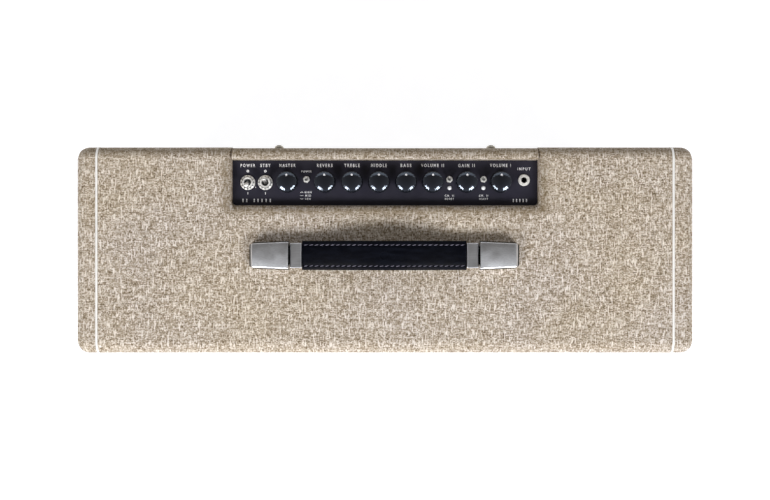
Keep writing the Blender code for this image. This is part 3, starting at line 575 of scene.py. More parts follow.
def smoothed(profile, rounds=2):
    """Corner-cutting of an open profile, keeping its ends: turns a few design points into a soft curve."""
    for _ in range(rounds):
        cut = [profile[0]]
        for (r0, z0), (r1, z1) in zip(profile, profile[1:]):
            cut += [
                (r0 * 0.75 + r1 * 0.25, z0 * 0.75 + z1 * 0.25),
                (r0 * 0.25 + r1 * 0.75, z0 * 0.25 + z1 * 0.75),
            ]
        profile = cut + [profile[-1]]
    return profile


def piece(name, bm, finish, body="root", slot=None, replaces=(), crease=35, matrix=None):
    """Turn a bmesh into a piece that rides on a body, smooth up to a crease angle."""
    if matrix:
        bmesh.ops.transform(bm, matrix=matrix, verts=bm.verts)
    bmesh.ops.recalc_face_normals(bm, faces=bm.faces)
    mesh = bpy.data.meshes.new(name)
    bm.to_mesh(mesh)
    bm.free()
    return placed(name, mesh, finish, body, slot, replaces, crease)


def placed(name, mesh, finish, body="root", slot=None, replaces=(), crease=35):
    """Turn a mesh into a piece; a slot is worked out from its finish unless one is given, but the piece does
    not keep it.
    """
    slot = slot or SLOTS.get(finish)
    mesh.shade_smooth()
    mesh.set_sharp_from_angle(angle=radians(crease))
    mesh.materials.clear()
    mesh.materials.append(FINISH[finish])
    thing = bpy.data.objects.new(name, mesh)
    bpy.context.scene.collection.objects.link(thing)
    even = thing.modifiers.new("even_shading", "WEIGHTED_NORMAL")
    even.keep_sharp = True
    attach(thing, body)
    if replaces:
        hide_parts(*replaces)
    return thing


def loose(shape):
    """A passing object, from a bmesh or a mesh, for a Boolean to use."""
    if isinstance(shape, bmesh.types.BMesh):
        bmesh.ops.recalc_face_normals(shape, faces=shape.faces)
        mesh = bpy.data.meshes.new("loose")
        shape.to_mesh(mesh)
        shape.free()
        shape = mesh
    thing = bpy.data.objects.new("loose", shape)
    bpy.context.scene.collection.objects.link(thing)
    return thing


def carved(base, tools):
    """The mesh of base with each tool cut away; a tool may come as a pair with an operation of its own."""
    things = [loose(base)]
    for tool in tools:
        tool, operation = tool if type(tool) is tuple else (tool, "DIFFERENCE")
        step = things[0].modifiers.new("cut", "BOOLEAN")
        step.operation = operation
        step.solver = "EXACT"
        step.object = loose(tool)
        things.append(step.object)
    graph = bpy.context.evaluated_depsgraph_get()
    mesh = bpy.data.meshes.new_from_object(things[0].evaluated_get(graph))
    for thing in things:
        bpy.data.objects.remove(thing, do_unlink=True)
    return mesh


def keep(node, finish, ease=0.0):
    """A CAD node that stays: finer edges and shading from modifiers, and a real finish."""
    thing = frame["nodes"][node]
    thing.data.materials.clear()
    thing.data.materials.append(FINISH[finish])
    for face in thing.data.polygons:
        face.use_smooth = True
    weld = thing.modifiers.new("weld", "WELD")
    weld.merge_threshold = 0.00001
    if ease:
        bevel = thing.modifiers.new("ease", "BEVEL")
        bevel.width = ease
        bevel.segments = 2
        bevel.limit_method = "ANGLE"
        bevel.angle_limit = radians(40)
    split = thing.modifiers.new("creases", "EDGE_SPLIT")
    split.split_angle = radians(35)
    even = thing.modifiers.new("even_shading", "WEIGHTED_NORMAL")
    even.weight = 100


# ---------------------------------------------------------------- cabinet


def shell_block(inset):
    """The cabinet's outer shape, every edge rounded, moved inwards by inset."""
    wide = HALF_WIDTH - inset
    bm = block(-wide, wide, front(inset), REAR_Y - inset, FOOT_TOP + inset, TOP_Z - inset)
    eased(bm, bm.edges, EDGE_RADIUS - inset, 8)
    return bm


def notch_block(inset, steps=8):
    """The control recess, its lip rounded, for a surface inset behind the covering."""
    lip = LIP_RADIUS - inset
    surface = TOP_Z - inset
    levels = [(0.0, TOP_Z - 0.04)]
    for i in range(steps):
        angle = pi / 2 * i / steps
        levels.append((lip * (1 - cos(angle)), surface - lip + lip * sin(angle)))
    run, rise = levels[-1][0] - levels[-2][0], levels[-1][1] - levels[-2][1]
    climb = surface - levels[-1][1] + 0.0004
    levels.append((levels[-1][0] + climb * run / rise, surface + 0.0004))
    levels.append((levels[-1][0], surface + 0.012))
    loops = []
    for grow, z in levels:
        wall = NOTCH_HALF + inset + grow
        corner = NOTCH_CORNER + inset + grow
        outline = rounded_rectangle(-wall, wall, NOTCH_FRONT - inset - grow, REAR_Y + 0.06, corner, 6)
        loops.append([(x, y, z) for x, y in outline])
    return loft(loops)


def tunnel_block(grow):
    """The cabinet's hollow from front to back, made larger all round by grow."""
    return block(
        -RIM_HALF_X - grow, RIM_HALF_X + grow, FRONT_BASE_Y - 0.05, REAR_Y + 0.05,
        OPENING_LOW - grow, OPENING_HIGH + grow,
    )


def outline_yz(inset, steps=10):
    """The cabinet's rounded outline seen from the side, moved inwards by inset."""
    reach = EDGE_RADIUS - inset
    bottom, top = FOOT_TOP + inset, TOP_Z - inset
    plane = front(inset)
    rear = REAR_Y - inset
    upper = reach * sin(pi / 4 + SLANT / 2) / cos(pi / 4 + SLANT / 2)
    lower = reach * sin(pi / 4 - SLANT / 2) / cos(pi / 4 - SLANT / 2)
    corners = (
        (rear - reach, top - reach, reach, 0, pi / 2),
        (plane(top - upper) + upper / cos(SLANT), top - upper, upper, pi / 2, pi - SLANT),
        (plane(bottom + lower) + lower / cos(SLANT), bottom + lower, lower, pi - SLANT, 1.5 * pi),
        (rear - reach, bottom + reach, reach, 1.5 * pi, 2 * pi),
    )
    return [point for corner in corners for point in arc(*corner, steps)]


def covering():
    """Vinyl in three widths, turned into the recess and round the rims, with a cord in each seam."""
    rear_board = low("upper_rear_panel").y
    lining = COVERING + 0.0004
    groove = PIPING_HALF + GAP * 0.4
    regions = {
        "covering_left": (-FAR, -PIPING_X - groove),
        "covering_centre": (groove - PIPING_X, PIPING_X - groove),
        "covering_right": (PIPING_X + groove, FAR),
    }
    for name, (x0, x1) in regions.items():
        hollow = carved(shell_block(COVERING), [tunnel_block(COVERING), notch_block(COVERING)])
        inside = block(
            -RIM_HALF_X - lining, RIM_HALF_X + lining, front(LINING_DEPTH), rear_board,
            OPENING_LOW - lining, OPENING_HIGH + lining,
        )
        region = block(x0, x1, -FAR, FAR, -FAR, FAR * 2)
        mesh = carved(
            shell_block(0), [(region, "INTERSECT"), tunnel_block(0), notch_block(0), hollow, inside]
        )
        placed("vinyl_" + name, mesh, "vinyl", replaces=(name,))
    for name, side in SIDES:
        loops = []
        steps = 16
        for i in range(steps):
            turn = 2 * pi * i / steps
            x = side * (PIPING_X + PIPING_HALF * cos(turn))
            inset = PIPING_HALF * sin(turn) + PIPING_HALF * 0.42
            loops.append([(x, y, z) for y, z in outline_yz(inset)])
        cord = loft(loops, closed=True)
        piece("cord_" + name, cord, "piping", replaces=("piping_" + name,), crease=80)


def cabinet_boards():
    """Bare plywood inside, and covering on the two rear panels."""
    for board in (
        "top_board", "bottom_board", "side_board_left", "side_board_right", "baffle_board", "grille_frame"
    ):
        keep(board, "plywood")
    for node in ("upper_rear_panel", "lower_rear_panel"):
        keep(node, "vinyl", 0.0012)


def grille():
    """Cloth pulled over its frame, held by a white cord border."""
    half = high("grille_cloth").x
    bottom, top = low("grille_cloth").z, high("grille_cloth").z
    steps_x, steps_z = 84, 62
    near, thick = front(CLOTH_DEPTH), 0.0012
    bm = bmesh.new()
    grid = {}
    for layer in (0, 1):
        for i in range(steps_x + 1):
            for j in range(steps_z + 1):
                x = -half + 2 * half * i / steps_x
                z = bottom + (top - bottom) * j / steps_z
                give = 0.0003 * sin(pi * i / steps_x) * sin(pi * j / steps_z)
                y = near(z) + give + layer * thick
                grid[layer, i, j] = bm.verts.new((x, y, z))
    for layer in (0, 1):
        for i in range(steps_x):
            for j in range(steps_z):
                bm.faces.new([grid[layer, i + a, j + b] for a, b in ((0, 0), (1, 0), (1, 1), (0, 1))])
    rim = [(i, 0) for i in range(steps_x)] + [(steps_x, j) for j in range(steps_z)]
    rim += [(i, steps_z) for i in range(steps_x, 0, -1)] + [(0, j) for j in range(steps_z, 0, -1)]
    for (i, j), (k, m) in zip(rim, rim[1:] + rim[:1]):
        bm.faces.new([grid[0, i, j], grid[0, k, m], grid[1, k, m], grid[1, i, j]])
    cloth = piece("grille_cloth_stretched", bm, "grille", replaces=("grille_cloth",))
    bead, centre, depth, sides = 0.0019, 0.0021, 0.0023, 12
    loops = []
    for i in range(sides):
        turn = 2 * pi * i / sides
        inset = centre + bead * cos(turn)
        plane = front(depth + bead * 0.85 * sin(turn))
        outline = rounded_rectangle(-half + inset, half - inset, bottom + inset, top - inset, 0.0035, 4)
        loops.append([(x, plane(z), z) for x, z in outline])
    piece("grille_cord", loft(loops, closed=True), "piping", replaces=("grille_piping",), crease=80)


def screw_head(bm, matrix, radius, height, cup=0.0):
    """A domed head with a cross recess, cut as four sunk facets, on a cup washer of radius cup if given."""
    rim = [(radius, 0.0), (radius, height * 0.25)]
    dome = [(radius * cos(a), height * 0.25 + height * 0.75 * sin(a)) for a in (0.35, 0.7, 1.05)]
    slot, deep = radius * 0.52, height * 0.55
    steps = 32
    rings = []
    for r, z in rim + dome + [(slot, height * 0.985)]:
        turns = [2 * pi * i / steps for i in range(steps)]
        rings.append([bm.verts.new((r * cos(turn), r * sin(turn), z)) for turn in turns])
    cross = []
    for i in range(steps):
        angle = 2 * pi * i / steps
        off = abs((angle + pi / 4) % (pi / 2) - pi / 4)
        r = min(slot * 0.98, 0.14 * radius / max(sin(off), 1e-6)) if off > 0.05 else slot * 0.98
        cross.append((r * cos(angle), r * sin(angle)))
    rings.append([bm.verts.new((x, y, height)) for x, y in cross])
    rings.append([bm.verts.new((x * 0.86, y * 0.86, height - deep)) for x, y in cross])
    for a, b in zip(rings, rings[1:]):
        for i in range(steps):
            j = (i + 1) % steps
            bm.faces.new((a[i], a[j], b[j], b[i]))
    bm.faces.new(rings[-1])
    bm.faces.new(list(reversed(rings[0])))
    bmesh.ops.transform(bm, matrix=matrix, verts=[v for ring in rings for v in ring])
    if cup:
        profile = [
            (radius * 0.9, 0.0), (cup, 0.0), (cup * 0.94, height * 0.3), (radius * 1.02, height * 0.34)
        ]
        turned(profile, steps, matrix, bm)
    return bm


def facing_rear(x, y, z):
    """A place on the rear, with local +Z pointing out of it."""
    return at(x, y, z) @ Matrix.Rotation(-pi / 2, 4, "X")


def rear_screws():
    """The two raised screws through the tongue, and cup-washered screws round both panels."""
    surface = high("lower_rear_panel").y
    for name, _ in SIDES:
        node = "rear_screw_" + name
        spot = middle(node)
        stand = high(node).y - surface
        bm = screw_head(bmesh.new(), facing_rear(spot.x, surface, spot.z), 0.005, stand)
        piece("raised_" + node, bm, "screw", replaces=(node,))
    half = RIM_HALF_X - 0.014
    upper, lower = low("upper_rear_panel").z, high("lower_rear_panel").z
    rows = {
        "upper": [(x, z) for x in (-half, half) for z in (upper + 0.016, OPENING_HIGH - 0.014)]
        + [(x, upper + 0.016) for x in (-0.1, 0.1)],
        "lower": [(x, z) for x in (-half, -0.1, 0.1, half) for z in (lower - 0.014, OPENING_LOW + 0.014)],
    }
    for name, spots in rows.items():
        bm = bmesh.new()
        for x, z in spots:
            screw_head(bm, facing_rear(x, surface - 0.0002, z), 0.0036, 0.0018, 0.0056)
        piece("%s_panel_screws" % name, bm, "screw")


def feet():
    """Ribbed rubber feet with a sunk washer and screw."""
    bm_screws = bmesh.new()
    for row in ("front", "rear"):
        for name, _ in SIDES:
            node = "foot_%s_%s" % (row, name)
            spot = middle(node)
            wide, top = high(node).x - spot.x, high(node).z
            tall = top - low(node).z
            profile = [
                (0.006, top - 0.0055), (0.0062, top - tall + 0.0008), (0.007, top - tall),
                (wide * 0.84, top - tall), (wide * 0.875, top - tall + 0.001), (wide * 0.97, top - 0.003),
                (wide, top - 0.0022), (wide, top), (0.006, top),
            ]
            place = at(spot.x, spot.y, 0)
            piece("rubber_" + node, turned(profile, 40), "rubber", replaces=(node,), matrix=place)
            seat = at(spot.x, spot.y, top - 0.0055) @ Matrix.Rotation(pi, 4, "X")
            screw_head(bm_screws, seat, 0.0038, 0.0022, 0.0056)
    piece("foot_screws", bm_screws, "screw")


# ---------------------------------------------------------------- control panel


def letters(bm, text, x, y, z, tall, wide=None, turn=None):
    """Raised print: the text's middle at x, its capitals tall high and, if given, wide across."""
    curve = bpy.data.curves.new("letters", "FONT")
    curve.body = text
    curve.align_x = "CENTER"
    curve.align_y = "CENTER"
    curve.extrude = PRINT_HALF / tall
    curve.space_character = 1.6
    curve.offset = 0.022
    thing = bpy.data.objects.new("letters", curve)
    bpy.context.scene.collection.objects.link(thing)
    graph = bpy.context.evaluated_depsgraph_get()
    mesh = bpy.data.meshes.new_from_object(thing.evaluated_get(graph))
    bpy.data.objects.remove(thing, do_unlink=True)
    old = set(bm.verts)
    bm.from_mesh(mesh)
    made = [v for v in bm.verts if v not in old]
    xs, ys = [v.co.x for v in made], [v.co.y for v in made]
    sy = tall / (max(ys) - min(ys))
    sx = wide / (max(xs) - min(xs)) if wide else sy
    cx, cy = (max(xs) + min(xs)) / 2, (max(ys) + min(ys)) / 2
    for v in made:
        v.co = Vector(((v.co.x - cx) * sx, (v.co.y - cy) * sy, v.co.z * tall))
    place = at(x, y, z) @ (turn or Matrix.Identity(4))
    bmesh.ops.transform(bm, matrix=place, verts=made)
    bpy.data.meshes.remove(mesh)


def bar(bm, x, y, z, half_x, half_y, lean=0.0):
    """A thin printed bar."""
    place = at(x, y, z) @ Matrix.Rotation(lean, 4, "Z")
    old = set(bm.verts)
    block(-half_x, half_x, -half_y, half_y, -PRINT_HALF, PRINT_HALF, bm)
    bmesh.ops.transform(bm, matrix=place, verts=[v for v in bm.verts if v not in old])


def washer(inner, outer, z0, z1):
    """The profile of a flat ring."""
    return [(inner, z0), (outer, z0), (outer, z1), (inner, z1)]


def ring(bm, x, y, z, inner, outer):
    """A thin printed ring."""
    turned(washer(inner, outer, -PRINT_HALF, PRINT_HALF), 24, at(x, y, z), bm)


def panel_print():
    """White print: plain words for the controls, on and off marks, and blank bars for a maker's words."""
    keep("control_panel", "panel", 0.0003)
    z = PANEL_Z + PRINT_HALF
    bm = bmesh.new()
    knob = {name: middle("knob_" + name) for name in KNOB_NAMES}
    power, standby = JOINTS["power_switch"]["pos_m"], JOINTS["standby_switch"]["pos_m"]
    jack = middle("input_jack")
    row, capitals = knob["master"].y + 0.0182, 0.0036
    letters(bm, "POWER", power[0], row, z, capitals, 0.016)
    letters(bm, "STBY", standby[0], row, z, capitals, 0.011)
    widths = (0.0178, 0.0172, 0.0168, 0.0172, 0.0118, 0.025, 0.018, 0.0228)
    for name, wide in zip(KNOB_NAMES, widths):
        word = name.upper().replace("_ONE", " I").replace("_TWO", " II")
        letters(bm, word, knob[name].x, row, z, capitals, wide)
    letters(bm, "INPUT", jack.x, row - 0.0038, z, 0.003, 0.0142)
    for x in (power[0], standby[0]):
        ring(bm, x, power[1] + 0.0126, z, 0.00055, 0.00145)
        bar(bm, x, power[1] - 0.0117, z, 0.00028, 0.0013)
    sag = JOINTS["sag_switch"]["pos_m"]
    letters(bm, "POWER", sag[0], sag[1] + 0.0087, z, 0.0022, 0.0112)
    for number, word in enumerate(("HIGH", "MID", "LOW")):
        y = sag[1] - 0.0141 - 0.0036 * number
        letters(bm, word, sag[0] + 0.0018, y, z, 0.0021, 0.0075 if number == 0 else 0.0062)
        for lean in (-0.6, 0.6):
            slope = lean * (1 - number)
            bar(bm, sag[0] - 0.0052 + 0.0008 * (1 if lean > 0 else -1), y, z, 0.0009, 0.0002, -slope)
    for node, words in (("boost_switch", ("CH. II", "BOOST")), ("channel_switch", ("CH. II", "SELECT"))):
        spot = JOINTS[node]["pos_m"]
        for number, word in enumerate(words):
            letters(bm, word, spot[0], spot[1] - 0.0178 - 0.0035 * number, z, 0.0021, 0.0098)
    ring(bm, (power[0] + standby[0]) / 2 - 0.0012, power[1] - 0.0052, z, 0.0001, 0.0005)
    base = low("control_panel").y + 0.0052
    left, right = low("control_panel").x, high("control_panel").x
    marks = [left + 0.0112 + step for step in (0, 0.0041, 0.0123, 0.0164, 0.0208, 0.0253, 0.0298)]
    marks += [right - 0.0262 + step for step in (0, 0.0036, 0.0072, 0.0108, 0.0144)]
    for x in marks:
        bar(bm, x, base, z, 0.0006, 0.0018)
    piece("panel_print", bm, "print", crease=20)


def knobs():
    """Gloss knobs nearly as wide as their skirts, fluted round the side, with a white dot on the dome."""
    flutes, steps = 20, 160
    base, seat = low("knob_master").z, PANEL_Z
    tall = high("knob_master").z - seat
    wide = high("knob_master").x - middle("knob_master").x
    bore = [(0, base), (0.003, base)]
    bore += [(r, seat + z) for r, z in mm((3, 2.8), (6.4, 2.8), (6.4, 0.6))]
    skirt = [(wide - r, seat + z) for r, z in mm((0.2, 0.6), (0, 0.8), (0, 1.5), (0.2, 1.8))]
    side = [(wide - r, seat + z) for r, z in mm((0.5, 2), (0.6, 3.2), (0.6, 4.8), (0.7, 9), (0.8, 11.2))]
    dome_radius = 0.023
    rim = wide - 0.0012

    def dome(r):
        return seat + tall - dome_radius + sqrt(dome_radius * dome_radius - r * r)

    above = wide - 0.0008
    shoulder = smoothed([(above, seat + 0.0118), (above, dome(rim) - 0.0003), (rim, dome(rim))], 2)
    shoulder += [(rim * share, dome(rim * share)) for share in (0.92, 0.82, 0.7, 0.56, 0.4, 0.22, 0.08, 0)]
    bottom, top = seat + 0.0022, dome(rim * 0.8)

    def fluted(radius, z, angle):
        if not bottom < z < top or radius < wide * 0.5:
            return radius
        edge = min(1.0, (z - bottom) / 0.0012, (top - z) / 0.002)
        wave = abs(sin(flutes * angle / 2))
        return radius - 0.0007 * edge * (1 - wave) ** 0.8

    dot_y = 0.0072
    for name in KNOB_NAMES:
        node = "knob_" + name
        spot = middle(node)
        place = at(spot.x, spot.y, 0)
        shape = turned(bore + skirt + side + shoulder, steps, place, None, fluted)
        piece("gloss_" + node, shape, "knob", node, replaces=(node,), crease=50)
        dot = turned(mm((0, 0.25), (0.9, 0.2), (1.15, 0), (0, -0.6)), 24)
        lie = at(0, dot_y, dome(dot_y)) @ Matrix.Rotation(-dot_y / dome_radius, 4, "X")
        bmesh.ops.transform(dot, matrix=lie, verts=dot.verts)
        piece("pointer_" + name, dot, "dot", node, matrix=place)


def hex_nut(bm, matrix, across, low_z, high_z, bore, turn=0.0):
    """A six-sided nut with chamfered corners and a round bore."""
    steps = 48
    flat = across / 2

    def hexed(radius, z, angle):
        if radius < flat * 0.98:
            return radius
        sector = (angle + turn) % (pi / 3) - pi / 6
        corner = flat / cos(sector)
        return min(corner, radius)

    chamfer = (high_z - low_z) * 0.22
    point = flat * 1.155
    profile = [
        (bore, low_z), (flat * 1.06, low_z), (point, low_z + chamfer), (point, high_z - chamfer),
        (flat * 1.02, high_z), (bore + 0.0003, high_z), (bore, high_z - 0.0003),
    ]
    turned(profile, steps, matrix, bm, hexed)


def switches():
    """Two bat toggles in stepped round nuts, and three small toggles in hexagon nuts."""
    keep("chassis_lid", "steel")
    seat = PANEL_Z
    for name, lean in (("power", TOGGLE_LEAN), ("standby", -TOGGLE_LEAN)):
        x, y, z = JOINTS[name + "_switch"]["pos_m"]
        bm = bmesh.new()
        nut = mm(
            (3.7, 0.3), (8.08, 0.3), (8.12, 1.2), (7.9, 2.05), (7.2, 2.45), (6.4, 3), (6.1, 2.72),
            (5.95, 2.72), (5.88, 3.1), (5.84, 4), (5.6, 4.35), (4.4, 4.35), (4.1, 4.2), (3.52, 3.4),
            (3.52, 1.8),
        )

        def knurled(radius, z, angle):
            if radius > 0.0075:
                return radius - 0.00012 * (sin(angle * 40) > 0.55)
            return radius

        turned(nut, 160, at(x, y, seat), bm, knurled)
        piece("dress_nut_" + name, bm, "nut", crease=30)
        well = turned(mm((0, 0.6), (1.2, 0.9), (2.8, 1.1), (3.52, 1.7), (3.52, 0.2), (0, 0.2)), 40)
        piece("boot_" + name, well, "moulding", matrix=at(x, y, seat))
        bat = smoothed(mm(
            (0, -2), (2.1, -1.4), (2.2, 0.4), (1.5, 2.4), (1.45, 5), (1.9, 9), (2.6, 13.5), (2.7, 15.5),
            (1.9, 17), (0, 17.35),
        ), 2)
        pose = at(x, y, z) @ Matrix.Rotation(lean, 4, "X")
        piece(
            "bat_" + name, turned(bat, 32), "bright", "lever_" + name,
            replaces=("lever_" + name,), crease=60, matrix=pose,
        )
    for name in ("sag", "boost", "channel"):
        x, y, z = JOINTS[name + "_switch"]["pos_m"]
        bm = bmesh.new()
        hex_nut(bm, at(x, y, seat), 0.0066, 0.0003, 0.00138, 0.0022, 0.2)
        sleeve = mm((1.72, 0.2), (2.48, 0.2), (2.48, 2.4), (2.3, 2.65), (1.9, 2.65), (1.72, 2.4))
        turned(sleeve, 32, at(x, y, seat), bm)
        piece("small_nut_" + name, bm, "nut", crease=30)
        stalk = mm((0, -1.1), (0.85, -0.7), (0.75, 1.6), (0.85, 5), (1.15, 8.8), (0.9, 10), (0, 10.2))
        stalk = smoothed(stalk, 2)
        pose = at(x, y, z) @ Matrix.Rotation(MINI_LEAN, 4, "X")
        piece(
            "stalk_" + name, turned(stalk, 24), "bright", "lever_" + name,
            replaces=("lever_" + name,), crease=60, matrix=pose,
        )


def lamps_and_input():
    """Two white lamp lenses on their carrier, and the instrument socket."""
    seat = PANEL_Z
    box_low, box_high = low("indicator_lamps"), high("indicator_lamps")
    y = middle("indicator_lamps").y
    inset = 0.006
    carrier = block(box_low.x, box_high.x, box_low.y, box_high.y, box_low.z, box_low.z + 0.0015, None, 0.0003)
    piece("lamp_carrier", carrier, "circuit", slot="lamp_lens", replaces=("indicator_lamps",))
    foot = box_low.z + 0.0016 - seat
    for name, x in (("boost", box_low.x + inset), ("channel", box_high.x - inset)):
        stem = smoothed(mm((0, 2.2), (1, 2.1), (1.8, 1.4), (2.25, 0.8), (2.3, 0.3), (1.5, 0.3)), 2)
        stem += [(0.0015, foot), (0, foot)]
        place = at(x, y, seat)
        piece("lens_" + name, turned(stem, 32), "lens", crease=50, matrix=place)
    spot = middle("input_jack")
    place = at(spot.x, spot.y, seat)
    bm = bmesh.new()
    hex_nut(bm, place, 0.011, 0.0007, 0.0026, 0.0046, 0.35)
    ferrule = mm((4.6, -3.5), (4.6, 2.8), (4.3, 3.3), (3.8, 3.4))
    ferrule = [(PLUG_BORE, -0.0035), *ferrule, (PLUG_BORE, 0.0028)]
    turned(washer(0.0046, 0.0064, 0.0003, 0.0007), 48, place, bm)
    turned(ferrule, 48, place, bm)
    piece("input_fitting", bm, "nut", replaces=("input_jack",), crease=30)
    deep = low("input_jack").z - seat
    body = mm((7.2, -24), (7.2, -5.2), (4.6, -5.2), (4.6, -3.7))
    body = [(PLUG_BORE, deep), (0.007, deep), *body, (PLUG_BORE, -0.0037)]
    piece("input_body", turned(body, 40), "moulding", matrix=place)


# ---------------------------------------------------------------- handle


def strap_line():
    """The strap's half length and half width, and its middle's height from end to end, u from -1 to 1."""
    box_low, box_high = low("handle_strap"), high("handle_strap")
    half_x = (box_high.x - box_low.x) / 2
    half_y = (box_high.y - box_low.y) / 2

    def height(u):
        return TOP_Z + STRAP_END_RISE + STRAP_RISE * (0.5 + 0.5 * cos(pi * u)) ** STRAP_SWELL

    return half_x, half_y, height


def handle():
    """A stitched leather strap between plated collars that slide in the end caps."""
    half_x, half_y, height = strap_line()
    thick, collar_half, tongue_half = 0.0035, 0.0136, 0.01
    under = [(half_y * y, t) for y, t in ((-1, 0.0), (-1, -0.72), (-0.95, -1.0))]
    over = ((1, 0.42), (0.94, 0.74), (0.8, 0.9), (0.73, 0.86), (0.7, 0.82), (0.66, 0.88), (0.5, 1.02))
    over = [(half_y * y, t) for y, t in over]
    section = under + [(0, -1.0)] + [(-y, t) for y, t in reversed(under)]
    section += over + [(0, 1.1)] + [(-y, t) for y, t in reversed(over)]
    section = smoothed(section, 2)[:-1]
    stations = 128
    loops = []
    for i in range(stations + 1):
        u = -cos(pi * i / stations)
        loops.append([(HANDLE_X + u * half_x, HANDLE_Y + y, height(u) + thick * t) for y, t in section])
    piece("leather_strap", loft(loops), "leather", "grip", replaces=("handle_strap",), crease=60)

    bm = bmesh.new()
    row_y, pitch, long, wide, dip, arch = half_y * 0.715, 0.0058, 0.0021, 0.00035, 0.00042, 0.00034
    count = int(2 * (half_x - 0.003) / pitch)
    turns = [j * pi / 4 for j in range(8)]
    for side in (-1, 1):
        for i in range(count + 1):
            x = (i - count / 2) * pitch
            u = x / half_x
            before, after = max(u - 0.01, -1), min(u + 0.01, 1)
            slope = (height(after) - height(before)) / ((after - before) * half_x)
            z = height(u) + thick * 0.84
            stitch = []
            for k in range(9):
                t = -1 + k / 4
                swell = wide * sqrt(max(0.02, 1 - t * t * 0.96))
                centre = Vector((t * long, dip * t, arch * (1 - t * t)))
                stitch.append([centre + Vector((0, swell * cos(a), swell * sin(a))) for a in turns])
            old = set(bm.verts)
            loft(stitch, bm=bm)
            lie = at(HANDLE_X + x, HANDLE_Y + side * row_y, z)
            lie = lie @ Matrix.Rotation(-atan2(slope, 1), 4, "Y")
            bmesh.ops.transform(bm, matrix=lie, verts=[v for v in bm.verts if v not in old])
    piece("strap_stitches", bm, "thread", "grip", crease=80)
    emboss = mm((3.8, -0.5), (5.3, -0.5), (5.3, 0), (4.9, 0.4), (4.2, 0.4), (3.8, 0))
    crown = at(HANDLE_X, HANDLE_Y, height(0) + thick * 1.1 - 0.0001)
    piece("strap_ring", turned(emboss, 64), "leather", "grip", matrix=crown)

    for name, side in SIDES:
        cap_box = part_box("handle_cap_" + name)
        start, end = sorted(side * (corner.x - HANDLE_X) for corner in cap_box)
        tall, wide = cap_box[1].z - TOP_Z, (cap_box[1].y - cap_box[0].y) / 2
        short = tall - 0.007
        node = "handle_collar_" + name
        inner, tongue_end = sorted(side * (corner.x - HANDLE_X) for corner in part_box(node))
        outer = start - 0.0017
        x0, x1 = sorted(HANDLE_X + side * x for x in (inner, outer))
        y0, y1 = HANDLE_Y - collar_half, HANDLE_Y + collar_half
        collar = block(x0, x1, y0, y1, TOP_Z + 0.0035, TOP_Z + 0.0155, None, 0.0012, 4)
        piece("plated_" + node, collar, "satin", "grip", replaces=(node,))
        x0, x1 = sorted(HANDLE_X + side * x for x in (outer - 0.002, tongue_end))
        y0, y1 = HANDLE_Y - tongue_half, HANDLE_Y + tongue_half
        tongue = block(x0, x1, y0, y1, TOP_Z + 0.006, TOP_Z + 0.009, None, 0.0005)
        piece("tongue_" + name, tongue, "moulding", "grip", slot="satin_nickel")

        node = "handle_cap_" + name
        corner, camber = 0.0012, 0.0005
        loops = []
        for x, narrower, rise in (
            (start, 0.0002, tall - 0.0002),
            (start + 0.0003, 0.0, tall),
            (end - 0.0034, 0.0016, short + 0.0004),
            (end - 0.0016, 0.0018, short - 0.0003),
            (end - 0.0005, 0.0023, short - 0.0014),
            (end, 0.003, short - 0.003),
        ):
            half = wide - narrower
            edge = rise - camber - 0.00035
            outline = [(-half, GAP), (half, GAP)] + arc(half - corner, edge - corner, corner, 0, pi / 2, 6)
            outline += [(k / 5 * (half - 0.003), rise - camber * (k / 5) ** 2) for k in range(5, 0, -1)]
            outline += [(k / 5 * (half - 0.0016), rise - camber * (k / 5) ** 2) for k in range(0, -6, -1)]
            outline += arc(corner - half, edge - corner, corner, pi / 2, pi, 6)
            loops.append([(HANDLE_X + side * x, HANDLE_Y + y, TOP_Z + z) for y, z in outline])
        pocket = []
        for x in (start - 0.004, start + 0.018):
            roof = tall - (tall - short) * (x - start) / (end - start) - 0.0024
            corners = ((-0.0115, 0.0024), (0.0115, 0.0024), (0.0115, roof), (-0.0115, roof))
            pocket.append([(HANDLE_X + side * x, HANDLE_Y + y, TOP_Z + z) for y, z in corners])
        mesh = carved(loft(loops), [loft(pocket)])
        placed("plated_" + node, mesh, "satin", replaces=(node,), crease=14)
        # Painted shadow: a thin black plate under the cap, a little wider than it, that draws a dark contact
        # line round the cap's foot
        shadow_plate_half = wide + 0.001
        outline = [(start + 0.0004, -shadow_plate_half), (end - 0.002, 0.0016 - shadow_plate_half)]
        outline.append((end + 0.0022, 0.0046 - shadow_plate_half))
        outline += [(x, -y) for x, y in reversed(outline)]
        seat = [
            [(HANDLE_X + side * x, HANDLE_Y + y, TOP_Z + z) for x, y in outline]
            for z in (0.00005, 0.0012)
        ]
        piece("shadow_plate_" + node, loft(seat), "moulding")


# ---------------------------------------------------------------- speakers and electronics


def speaker_frame(node):
    """Local +Z runs along the cone's axis from the baffle's rear face into the cabinet."""
    spot = middle("speaker_basket_" + node)
    y = front(BAFFLE_REAR_DEPTH)(SPEAKER_Z)
    return at(spot.x, y, SPEAKER_Z) @ Matrix.Rotation(-pi / 2 - SLANT, 4, "X")


